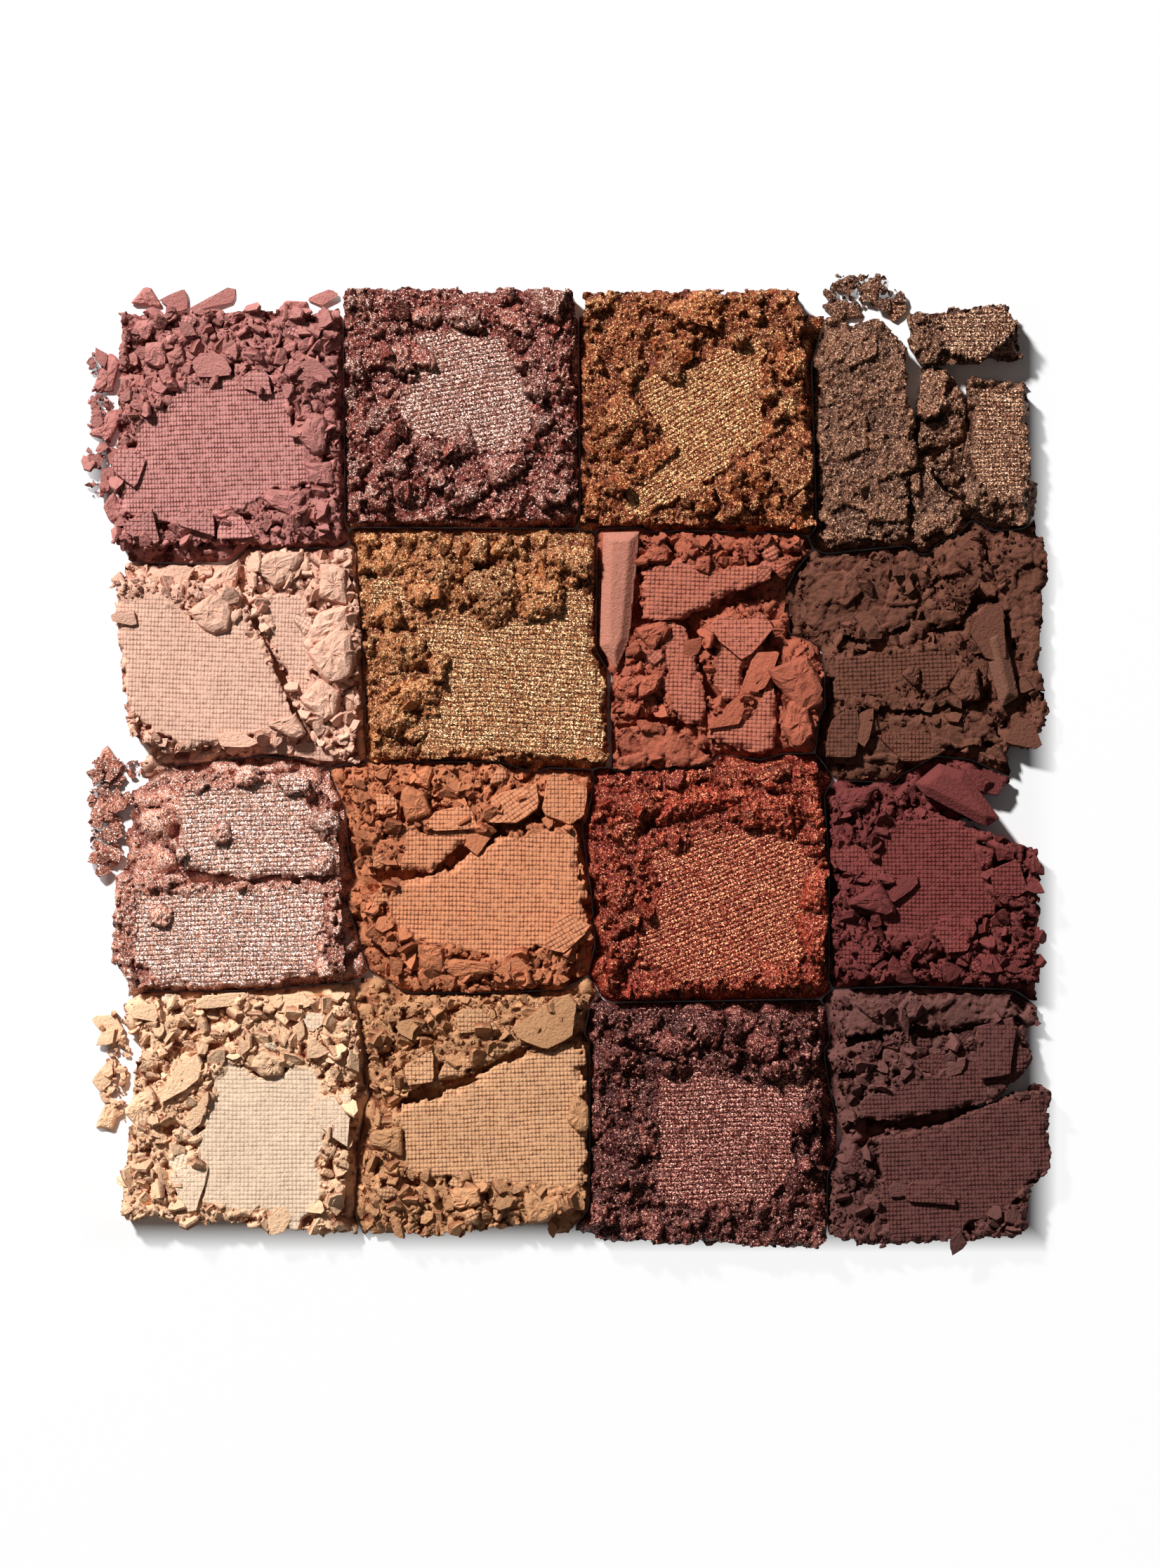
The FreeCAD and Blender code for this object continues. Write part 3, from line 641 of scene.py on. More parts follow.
def moulded_top(sheet, seed):
    """A smooth top with the bevel that the pan's rim moulded."""
    bevel_width, bevel_drop, overhang = 0.7, 0.55, 0.1
    ripple, ripple_size, paler = 0.02, 0.8, 0.3
    sheet.edge = np.minimum(sheet.room + overhang, sheet.limit)
    sheet.printed = np.zeros(sheet.x.shape)
    sheet.rubble = np.zeros(sheet.x.shape)
    sheet.hollow = np.zeros(sheet.x.shape)
    sheet.height = sheet.top - bevel_drop * np.clip(1 - sheet.room / bevel_width, 0, 1)
    sheet.height += ripple * (smooth_noise(sheet.x, sheet.y, ripple_size, seed + 4) - 0.5)
    sheet.tone += paler


def broken_top(sheet, seed):
    """The face of a break across the powder: large facets, small ones and fine striae."""
    x, y = sheet.x, sheet.y
    drop, grain, bare_below, most_rubble = 0.25, 0.05, 0.55, 0.6
    large_size, large_step, small_size, small_step = 2.4, 0.5, 0.9, 0.22
    striae_depth, striae_way, striae_turns, striae_bend = 0.05, (0.6, 0.8), 5, 3
    sheet.printed = np.zeros(x.shape)
    sheet.rubble = np.clip((smooth_noise(x, y, 2.0, seed + 7) - bare_below) * 4, 0, most_rubble)
    large, large_height = facets(x, y, large_size, seed + 8)
    _, small_height = facets(x, y, small_size, seed + 9)
    bend = striae_bend * smooth_noise(x, y, 1.5, seed + 10)
    striae = np.abs(np.sin((x * striae_way[0] + y * striae_way[1]) * striae_turns + bend))
    sheet.height = sheet.top - drop + large_step * large_height + small_step * small_height
    sheet.height -= striae_depth * striae
    sheet.height += grain * sheet.rough
    sheet.tone += large - 0.5


def printed_top(sheet, powder, seed):
    """The flat top where the photograph shows the print, and a pitted bed round it for the heap."""
    x, y = sheet.x, sheet.y
    hole_size, hole_depth = (1.7, 0.5) if powder.shimmer else (0.8, 0.8)
    hole_share, pile_height, pile_size, drop, grain = 0.42, 0.5, 2.2, 0.35, 0.08
    unprinted, wander, nibble = -2.0, 0.8, 0.3
    print_fade, rubble_fade, pile_fade = 0.2, 0.5, 0.25
    window = np.full(x.shape, unprinted)
    for corners in PRINTED.get(sheet.node, []):
        outline = np.array([on_table(*corner) for corner in corners])
        window = np.maximum(window, inside_by(x, y, outline))
    wandering = wander * (smooth_noise(x, y, 1.0, seed + 11) - 0.5)
    window += wandering + nibble * (facets(x, y, 0.4, seed + 12)[0] - 0.5)
    sheet.printed = np.clip(window / print_fade + 0.5, 0, 1)
    sheet.rubble = np.clip(-window / rubble_fade, 0, 1)
    holes = np.clip((hole_share - smooth_noise(x, y, hole_size, seed + 13)) * 5, 0, 1)
    pile = pile_height * smooth_noise(x, y, pile_size, seed + 18) - drop - hole_depth * holes
    sheet.height = sheet.top + pile * np.clip(-window / pile_fade, 0, 1)
    sheet.height += grain * sheet.rough * (1 - sheet.printed)


def shape_top(sheet, powder):
    """Gives a piece its top: cloth print, heaped rim, broken face or moulded bevel."""
    node = sheet.node
    seed = powder.seed * 100 + len(node)
    x, y = sheet.x, sheet.y
    lowest, above_top, tallest_spike, granules, grain = 0.4, 1.1, 0.2, 0.12, 0.012
    crumble_width, crumble_drop, near_depth, wide_depth, shallower = 0.6, 0.6, 0.25, 0.6, 0.6
    bite = 0.7 if node in BROKEN_ACROSS else 0.5
    mottle = 1.2 if powder.shimmer else 0.5
    sheet.jag = smooth_noise(x, y, 0.22, seed + 1)
    sheet.rough = facets(x, y, 0.3, seed + 2)[1] + 0.6 * facets(x, y, 0.16, seed + 3)[1]
    slack = 0.7 if powder.shimmer else 0.35
    sheet.flake_u = sheet.thread_u + slack * (smooth_noise(x, y, 2.4, seed + 19) - 0.5)
    sheet.flake_v = sheet.thread_v + slack * (smooth_noise(x, y, 2.4, seed + 20) - 0.5)
    if node in MOULDED:
        moulded_top(sheet, seed)
        return
    chew_edge(sheet, seed + 6, powder.spread, bite)
    if node in BROKEN_ACROSS:
        broken_top(sheet, seed)
    else:
        printed_top(sheet, powder, seed)
    crumble = np.clip(1 - sheet.edge / crumble_width, 0, 1)
    sheet.height -= crumble_drop * crumble * smooth_noise(x, y, 0.7, seed + 14)
    if node not in BROKEN_ACROSS:
        rng = np.random.default_rng(seed)
        print_cloth(sheet, powder)
        heap_flakes(sheet, powder, rng)
        if powder.shimmer:
            heap_large_lumps(sheet, LARGE_FLAKES[node.split("_")[0]], rng)
    if powder.shimmer:
        sheet.height += granules * sheet.rough * (1 - sheet.printed)
    else:
        sheet.height = np.minimum(sheet.height, blurred(sheet.height, 3) + tallest_spike)
    pillow = np.random.default_rng(seed + 15).random((512, 512))
    u, v = (np.floor(threads).astype(int) % len(pillow) for threads in (sheet.flake_u, sheet.flake_v))
    sheet.tone += sheet.printed * (pillow[v, u] - 0.5) * mottle
    sheet.height += grain * (smooth_noise(x, y, 0.12, seed + 16) - 0.5)
    sheet.height = np.clip(sheet.height, lowest, sheet.top + above_top)
    # Painted shade: how far each place lies below its near and wide surroundings sets how much it is darkened
    # in the finish; places above them come out negative, and printed tops get less.
    near, wide = blurred(sheet.height, 2) - sheet.height, blurred(sheet.height, 8) - sheet.height
    sheet.hollow = np.clip(near / near_depth + wide / wide_depth, -1, 1) * (1 - shallower * sheet.printed)


def rubble_between(name, powder, row, column):
    """A low bed of rubble that fills a broken cake's cell between and round its pieces."""
    seed = powder.seed * 100 + 77
    usual_reach, reach_in_gaps, gap_width, reach_in_heaps, reach_in_corner = 0.7, 3.4, 4.2, 5.0, 3.4
    swell_height, step_height, hole_depth, hole_share, grain = 0.9, 0.4, 0.8, 0.4, 0.12
    rim_drop, rim_width, under_cake, hidden_level, strewn = 0.7, 0.8, 0.15, 0.3, 0.45
    outer_wander, wander = 0.6, 0.8
    middle = np.array([(column - 1.5) * CELL_X + ARRAY_OFFSET, (1.5 - row) * CELL_Y])
    low = np.floor((middle - RUBBLE_HALF) / RUBBLE_STEP).astype(int)
    count = int(2 * RUBBLE_HALF / RUBBLE_STEP)
    i, j = np.meshgrid(np.arange(low[0], low[0] + count), np.arange(low[1], low[1] + count))
    x, y = i * RUBBLE_STEP, j * RUBBLE_STEP
    sheet = SimpleNamespace(node=f"{name}_rubble", x=x, y=y, steps=np.array([RUBBLE_STEP, RUBBLE_STEP]),
                            turn=0.0, low=low)
    own, others = np.full(x.shape, -9.0), np.full(x.shape, FAR)
    nearest, farthest = (x.min() - FAR, y.min() - FAR), (x.max() + FAR, y.max() + FAR)
    for node, outline in OUTLINES.items():
        if (outline.max(0) < nearest).any() or (outline.min(0) > farthest).any():
            continue
        inside = inside_by(x, y, outline)
        if node.split("_")[0] == name:
            own = np.maximum(own, inside)
        else:
            others = np.minimum(others, -inside)
    sheet.side = (others + own) / 2 - CLEAR_OF_NEIGHBOUR
    ragged = 0.9 * facets(x, y, 1.0, seed)[0] + 0.5 * facets(x, y, 0.4, seed + 1)[0]
    reach = usual_reach + reach_in_gaps * np.clip(gap_width - others, 0, 1)
    if name == "champagne":
        heap = y > on_table(0, CHAMPAGNE_CRACK)[1]
        reach = np.where(heap, np.maximum(reach, reach_in_heaps), reach)
    if name == "brown":
        corner_x, corner_y = on_table(*BROWN_CORNER)
        reach = np.where((x < corner_x) & (y > corner_y), np.maximum(reach, reach_in_corner), reach)
    left, top = on_table(*LAYOUT_EDGES[:2])
    right, bottom = on_table(*LAYOUT_EDGES[2:])
    within = np.minimum(np.minimum(x - left, right - x), np.minimum(y - bottom, top - y))
    within -= outer_wander * ragged
    spread = np.minimum(reach + own - wander * ragged, within)
    spread = np.maximum(spread, own + usual_reach - wander * ragged)
    sheet.edge = np.minimum(sheet.side, spread)
    sheet.jag = smooth_noise(x, y, 0.22, seed + 2)
    sheet.rough = facets(x, y, 0.4, seed + 3)[1]
    swell, steps = smooth_noise(x, y, 1.6, seed + 4), facets(x, y, 0.9, seed + 5)[1]
    sheet.height = RUBBLE_LEVEL + swell_height * (swell - 0.5) + step_height * steps
    sheet.height -= hole_depth * np.clip((hole_share - smooth_noise(x, y, 0.8, seed + 6)) * 5, 0, 1)
    sheet.height += grain * sheet.rough - rim_drop * np.clip(1 - sheet.edge / rim_width, 0, 1)
    sheet.height = np.clip(np.where(own > under_cake, hidden_level, sheet.height), *RUBBLE_RANGE)
    sheet.printed = np.zeros(x.shape)
    sheet.tone = smooth_noise(x, y, 0.9, seed + 7) - 0.5
    sheet.flake_u, sheet.flake_v = x.copy(), y.copy()
    sheet.rubble = np.where(own < 0.0, strewn, 0.0)
    if powder.shimmer:
        heap_large_lumps(sheet, LARGE_FLAKES[name], np.random.default_rng(seed + 8))
    # Painted shade: the rubble is darkened where it lies below its surroundings.
    sheet.hollow = np.clip((blurred(sheet.height, 3) - sheet.height) / 0.4 + 0.15, -1, 1)
    return sheet


def blurred(field, reach):
    """A field averaged over a square of neighbours, twice."""
    width = 2 * reach + 1
    for _ in range(2):
        for axis in (0, 1):
            first, last = np.take(field, [0] * reach, axis), np.take(field, [-1] * reach, axis)
            padded = np.concatenate([first, field, last], axis)
            total = np.cumsum(np.concatenate([np.zeros_like(np.take(padded, [0], axis)), padded], axis), axis)
            place = np.arange(field.shape[axis])
            field = (np.take(total, place + width, axis) - np.take(total, place, axis)) / width
    return field


def kept_cells(sheet):
    """The grid cells of a piece: one whole patch with no holes and no corners that only touch."""
    e = sheet.edge
    keep = (e[:-1, :-1] + e[1:, :-1] + e[:-1, 1:] + e[1:, 1:]) > 0
    keep[0, :] = keep[-1, :] = False
    keep[:, 0] = keep[:, -1] = False

    def patch_from(start, free):
        reached = np.zeros(free.shape, bool)
        reached[start] = True
        queue = deque([start])
        while queue:
            r, c = queue.popleft()
            for nr, nc in ((r - 1, c), (r + 1, c), (r, c - 1), (r, c + 1)):
                on_grid = 0 <= nr < free.shape[0] and 0 <= nc < free.shape[1]
                if on_grid and free[nr, nc] and not reached[nr, nc]:
                    reached[nr, nc] = True
                    queue.append((nr, nc))
        return reached

    best = np.zeros(keep.shape, bool)
    left = keep.copy()
    while left.sum() > best.sum():
        patch = patch_from(tuple(np.argwhere(left)[0]), left)
        left &= ~patch
        if patch.sum() > best.sum():
            best = patch
    keep = ~patch_from((0, 0), ~best)
    while True:
        a, b, c, d = keep[:-1, :-1], keep[:-1, 1:], keep[1:, :-1], keep[1:, 1:]
        touching = (a & d & ~b & ~c) | (b & c & ~a & ~d)
        if not touching.any():
            return keep
        for r, c in np.argwhere(touching):
            keep[r:r + 2, c:c + 2] = True


def border_loop(keep, number):
    """The grid corners round the kept cells, anticlockwise from above."""
    onward = {}
    rows, columns = np.nonzero(keep)
    for r, c in zip(rows, columns):
        if not keep[r - 1, c]:
            onward[number[r, c]] = number[r, c + 1]
        if not keep[r, c + 1]:
            onward[number[r, c + 1]] = number[r + 1, c + 1]
        if not keep[r + 1, c]:
            onward[number[r + 1, c + 1]] = number[r + 1, c]
        if not keep[r, c - 1]:
            onward[number[r + 1, c]] = number[r, c]
    start = next(iter(onward))
    loop = [start]
    while onward[loop[-1]] != start:
        loop.append(onward[loop[-1]])
    return np.array(loop)


def evened(values, reach):
    """Values round a closed loop, each averaged with its neighbours."""
    return sum(np.roll(values, k) for k in range(-reach, reach + 1)) / (2 * reach + 1)


def new_mesh(name, points, faces, attributes):
    """A mesh object at the origin from points in millimetres, with its point attributes."""
    mesh = bpy.data.meshes.new(name)
    mesh.from_pydata((np.asarray(points) * MM).tolist(), [], faces)
    for key, values in attributes.items():
        values = np.asarray(values, np.float32)
        kind, field = ("FLOAT_VECTOR", "vector") if values.ndim == 2 else ("FLOAT", "value")
        mesh.attributes.new(key, kind, "POINT").data.foreach_set(field, values.ravel())
    piece = bpy.data.objects.new(name, mesh)
    bpy.context.scene.collection.objects.link(piece)
    return piece


def wall_rings(lx, ly, lz, even_reach, seed):
    """Rings of points down a crumbled wall from a closed loop of edge points, the last one on the table."""
    undercut, dent_depth, dent_size = 0.06, 0.26, 0.6
    even_x, even_y, even_z = (evened(values, even_reach) for values in (lx, ly, lz))
    tangent_x = np.roll(lx, -4) - np.roll(lx, 4)
    tangent_y = np.roll(ly, -4) - np.roll(ly, 4)
    length = np.maximum(np.hypot(tangent_x, tangent_y), 1e-6)
    out_x, out_y = tangent_y / length, -tangent_x / length
    around = np.cumsum(np.hypot(lx - np.roll(lx, 1), ly - np.roll(ly, 1)))
    rings = []
    for ring in range(1, WALL_RINGS + 1):
        share = ring / WALL_RINGS
        ease = min(0.5 * ring, 1.0)
        dent = -undercut * ease
        if ring < WALL_RINGS:
            dent += dent_depth * (facets(around, even_z * (1 - share), dent_size, seed)[0] - 0.8)
        rings.append(np.stack([
            lx + ease * (even_x - lx) + dent * out_x, ly + ease * (even_y - ly) + dent * out_y,
            (lz + ease * (even_z - lz)) * (1 - share)], axis=1))
    return rings, 0.6 * (facets(around, 0 * around, dent_size, seed + 1)[0] - 0.5)


def solid_piece(name, sheet, seed, gridded=False):
    """The closed mesh of one piece: its top, crumbled walls and a flat underside."""
    least_slope, furthest_shift, under_top = 0.3, 0.6, 0.95
    even_reach = 2 if gridded else 5
    keep = kept_cells(sheet)
    used = np.zeros(sheet.x.shape, bool)
    for rows in (slice(None, -1), slice(1, None)):
        for columns in (slice(None, -1), slice(1, None)):
            used[rows, columns] |= keep
    number = np.full(sheet.x.shape, -1)
    number[used] = np.arange(used.sum())
    loop = border_loop(keep, number)
    x, y, z = sheet.x[used].copy(), sheet.y[used].copy(), sheet.height[used].copy()
    slope_v, slope_u = np.gradient(sheet.edge, sheet.steps[1], sheet.steps[0])
    c, s = math.cos(sheet.turn), math.sin(sheet.turn)
    slope_x, slope_y = (slope_u * c - slope_v * s)[used][loop], (slope_u * s + slope_v * c)[used][loop]
    steep = np.maximum(slope_x ** 2 + slope_y ** 2, least_slope)
    limit = furthest_shift * sheet.steps.min()
    shift = np.clip(sheet.edge[used][loop] / steep, -limit, limit)
    x[loop] -= shift * slope_x
    y[loop] -= shift * slope_y
    rows, columns = np.nonzero(keep)
    quads = np.stack([number[rows, columns], number[rows, columns + 1],
                      number[rows + 1, columns + 1], number[rows + 1, columns]], axis=1)
    count = len(loop)
    points = [np.stack([x, y, z], axis=1)]
    faces = quads.tolist()
    rings, loop_tone = wall_rings(x[loop], y[loop], z[loop], even_reach, seed)
    above = loop
    for ring, here in enumerate(rings):
        below = len(x) + ring * count + np.arange(count)
        faces += np.stack([above, below, np.roll(below, -1), np.roll(above, -1)], axis=1).tolist()
        points.append(here)
        above = below
    wall = WALL_RINGS * count
    if gridded:
        inner = np.full(len(x), True)
        inner[loop] = False
        lower = np.empty(len(x), int)
        lower[inner] = len(x) + wall + np.arange(inner.sum())
        lower[loop] = above
        points.append(np.stack([x[inner], y[inner], 0 * x[inner]], axis=1))
        faces += lower[quads[:, ::-1]].tolist()
        wall += int(inner.sum())
    else:
        faces.append(above[::-1].tolist())
    thread = np.stack([sheet.flake_u[used], sheet.flake_v[used], 0 * x], axis=1)
    piece = new_mesh(name, np.concatenate(points), faces, {
        "printed": np.concatenate([sheet.printed[used], np.zeros(wall)]),
        "tone": np.concatenate([sheet.tone[used], np.resize(loop_tone, wall)]),
        "thread": np.concatenate([thread, np.zeros((wall, 3))]),
        "hollow": np.concatenate([sheet.hollow[used], np.zeros(wall)]),
    })
    piece.data.polygons.foreach_set("use_smooth", [True] * len(faces))
    bed = SimpleNamespace(
        points=points[0], quads=quads, rubble=sheet.rubble[used] * (1 - sheet.printed[used]),
        room=np.minimum(sheet.side[used], under_top * z))
    return piece, bed


# The rings of a lump from its foot up: share of its width and of its height.
FLAT_RINGS = ((0.86, -0.3), (1.0, 0.5), (0.96, 0.97), (0.5, 1.0))
ROUND_RINGS = ((0.8, -0.3), (1.0, 0.2), (0.88, 0.7), (0.45, 1.0))


def rough_lump(rng, half_x, half_y, rise, around, flat, fine=False):
    """Points and faces of one broken lump on z = 0: ragged outline, steep sides, uneven or flat top."""
    angle = (np.arange(around) + rng.uniform(-0.4, 0.4, around)) * 2 * math.pi / around
    radius = np.full(around, 1.3)
    sides = rng.integers(3, 6)
    turned_away = 0.2
    for side in range(sides):
        facing = np.cos(angle - 2 * math.pi * (side + rng.uniform(-0.3, 0.3)) / sides)
        cut = rng.uniform(0.55, 0.95) / np.maximum(facing, turned_away)
        radius = np.where(facing > turned_away, np.minimum(radius, cut), radius)
    rings = FLAT_RINGS if flat else ROUND_RINGS
    uneven = 0.09 if flat else 0.16
    wavering = (0.92, 1.08)
    if fine:
        uneven *= 0.4
        wavering = (0.97, 1.03)
        rings = (*rings[:3], (0.8, 0.97 if flat else 0.85), (0.6, 1.0), (0.4, 1.0), (0.2, 1.0))
    points = []
    for share, level in rings:
        reach = radius * share * rng.uniform(*wavering, around)
        z = rise * (level + uneven * rng.uniform(-1, 1, around))
        x, y = half_x * reach * np.cos(angle), half_y * reach * np.sin(angle)
        points += np.stack([x, y, z], axis=1).tolist()
    points.append([0.0, 0.0, rise * rng.uniform(1.0, 1.0 + 2 * uneven)])
    faces = [list(range(around))[::-1]]
    for ring in range(len(rings) - 1):
        for k in range(around):
            a, b = ring * around + k, ring * around + (k + 1) % around
            faces.append([a, b, b + around, a + around])
    last = (len(rings) - 1) * around
    faces += [[last + k, last + (k + 1) % around, len(points) - 1] for k in range(around)]
    return np.array(points), faces


def chip(name, seed):
    """One flat flake, about 1 in radius."""
    rng = np.random.default_rng(seed)
    around = 7
    points, faces = rough_lump(rng, 1.0, rng.uniform(0.5, 0.95), rng.uniform(0.25, 0.5), around, True)
    mesh = bpy.data.meshes.new(name)
    mesh.from_pydata(points.tolist(), [], faces)
    # Painted shade: darkest at the foot ring, half as dark on the side ring, none on top.
    painted_shade = [1.0] * around + [0.5] * around + [0.0] * (len(points) - 2 * around)
    mesh.attributes.new("hollow", "FLOAT", "POINT").data.foreach_set("value", painted_shade)
    return bpy.data.objects.new(name, mesh)


def crumb(name, seed):
    """One small crumb, about 1 in radius: the hull of a few scattered points."""
    rng = np.random.default_rng(seed)
    points = rng.normal(size=(9, 3))
    points /= np.linalg.norm(points, axis=1)[:, None]
    points *= rng.uniform(0.75, 1.1, (9, 1)) * np.array([1.0, rng.uniform(0.6, 0.95), rng.uniform(0.5, 0.8)])
    mesh = bpy.data.meshes.new(name)
    shape = bmesh.new()
    for p in points:
        shape.verts.new(p)
    hull = bmesh.ops.convex_hull(shape, input=shape.verts)
    bmesh.ops.delete(shape, geom=[g for g in hull["geom_interior"] if isinstance(g, bmesh.types.BMVert)],
                     context="VERTS")
    bmesh.ops.recalc_face_normals(shape, faces=shape.faces)
    shape.to_mesh(mesh)
    shape.free()
    # Painted shade: darker towards the bottom of the crumb.
    painted_shade = [min(max(0.5 - v.co.z, 0.0), 1.0) for v in mesh.vertices]
    mesh.attributes.new("hollow", "FLOAT", "POINT").data.foreach_set("value", painted_shade)
    return bpy.data.objects.new(name, mesh)


def at_grid(sheet, x, y):
    """The grid's nearest row and column to each place, and which places it covers."""
    c, s = math.cos(sheet.turn), math.sin(sheet.turn)
    column = np.rint((x * c + y * s) / sheet.steps[0] - sheet.low[0]).astype(int)
    row = np.rint((-x * s + y * c) / sheet.steps[1] - sheet.low[1]).astype(int)
    rows, columns = sheet.x.shape
    covered = (row >= 0) & (row < rows) & (column >= 0) & (column < columns)
    return np.clip(row, 0, rows - 1), np.clip(column, 0, columns - 1), covered


def lies_at(sheets, x, y, reach):
    """The height of what a flake comes to lie on."""
    angle = np.arange(8) * math.pi / 4
    xs, ys = np.append(x, x + reach * np.cos(angle)), np.append(y, y + reach * np.sin(angle))
    height = np.zeros(9)
    for sheet in sheets:
        row, column, covered = at_grid(sheet, xs, ys)
        covered = covered & (sheet.edge[row, column] > 0)
        height = np.where(covered, np.maximum(height, sheet.height[row, column]), height)
    return float(np.percentile(height, RESTS_ON))


def large_flakes(name, places, sheets, filling, seed):
    """The flakes and lumps that the photograph shows one by one, as one mesh."""
    rng = np.random.default_rng(seed + 900)
    roughness, steepest, clear, foot = 0.16, 0.14, 0.12, 0.6
    longer, narrower, drawn_in, tries, shade_at_foot, shade_on_side = 1.05, 0.8, 0.8, 6, 1.0, 0.4
    points, faces, printed, hollow, tone, thread = [], [], [], [], [], []
    for kind, x, y, half_x, half_y, turn in flake_places(places):
        lump = kind == "lump"
        if turn:
            half_x, half_y = max(half_x, half_y) * longer, min(half_x, half_y) * narrower
        narrow = min(half_x, half_y)
        around, least_rise, rise_by_width = LUMP_SHAPE if lump else PLATE_SHAPE
        rise = least_rise + rise_by_width * narrow
        local, sides = rough_lump(rng, LARGE_FLAKE_GROWTH * half_x, LARGE_FLAKE_GROWTH * half_y,
                                  min(rise, TALLEST_LUMP), around, not lump, True)
        if lump:
            rough = facets(x + local[:, 0], y + local[:, 1], 0.5, seed)[1]
            local[2 * around:, 2] += roughness * rough[2 * around:]
        c, s = math.cos(math.radians(turn)), math.sin(math.radians(turn))
        dx, dy = local[:, 0] * c - local[:, 1] * s, local[:, 0] * s + local[:, 1] * c
        if filling is not None:
            for _ in range(tries):
                row, column, covered = at_grid(filling, x + dx, y + dy)
                crossing = ~covered | (filling.side[row, column] < clear)
                dx, dy = (np.where(crossing, drawn_in * offset, offset) for offset in (dx, dy))
        lean, way = rng.uniform(0.0, steepest), rng.uniform(0, 2 * math.pi)
        z = lies_at(sheets, x, y, foot * narrow) + local[:, 2]
        z += lean * (dx * math.cos(way) + dy * math.sin(way))
        faces += [[k + len(points) for k in face] for face in sides]
        points += np.stack([x + dx, y + dy, np.maximum(z, 0.0)], axis=1).tolist()
        above = np.arange(len(local)) >= 2 * around
        printed += (above * float(kind == "print")).tolist()
        hollow += [shade_at_foot] * around + [shade_on_side] * around + [0.0] * int(above.sum())
        tone += [rng.uniform(-0.3, 0.9)] * len(local)
        across, along = local[:, 0] / LARGE_FLAKE_THREAD[0], local[:, 1] / LARGE_FLAKE_THREAD[1]
        thread += np.stack([across, along, 0 * z], axis=1).tolist()
    return new_mesh(name, points, faces, {
        "printed": printed, "hollow": hollow, "tone": tone, "thread": np.array(thread)})


def fragment_set(make, name, seeds):
    """A collection of fragments for the scatter to pick from."""
    collection = bpy.data.collections.new(name)
    bpy.context.scene.collection.children.link(collection)
    for k, seed in enumerate(seeds):
        collection.objects.link(make(f"{name}_{k}", seed))
    return collection


SMALLEST_FRAGMENT = 0.06 * MM
FULL_TURN = 6.28


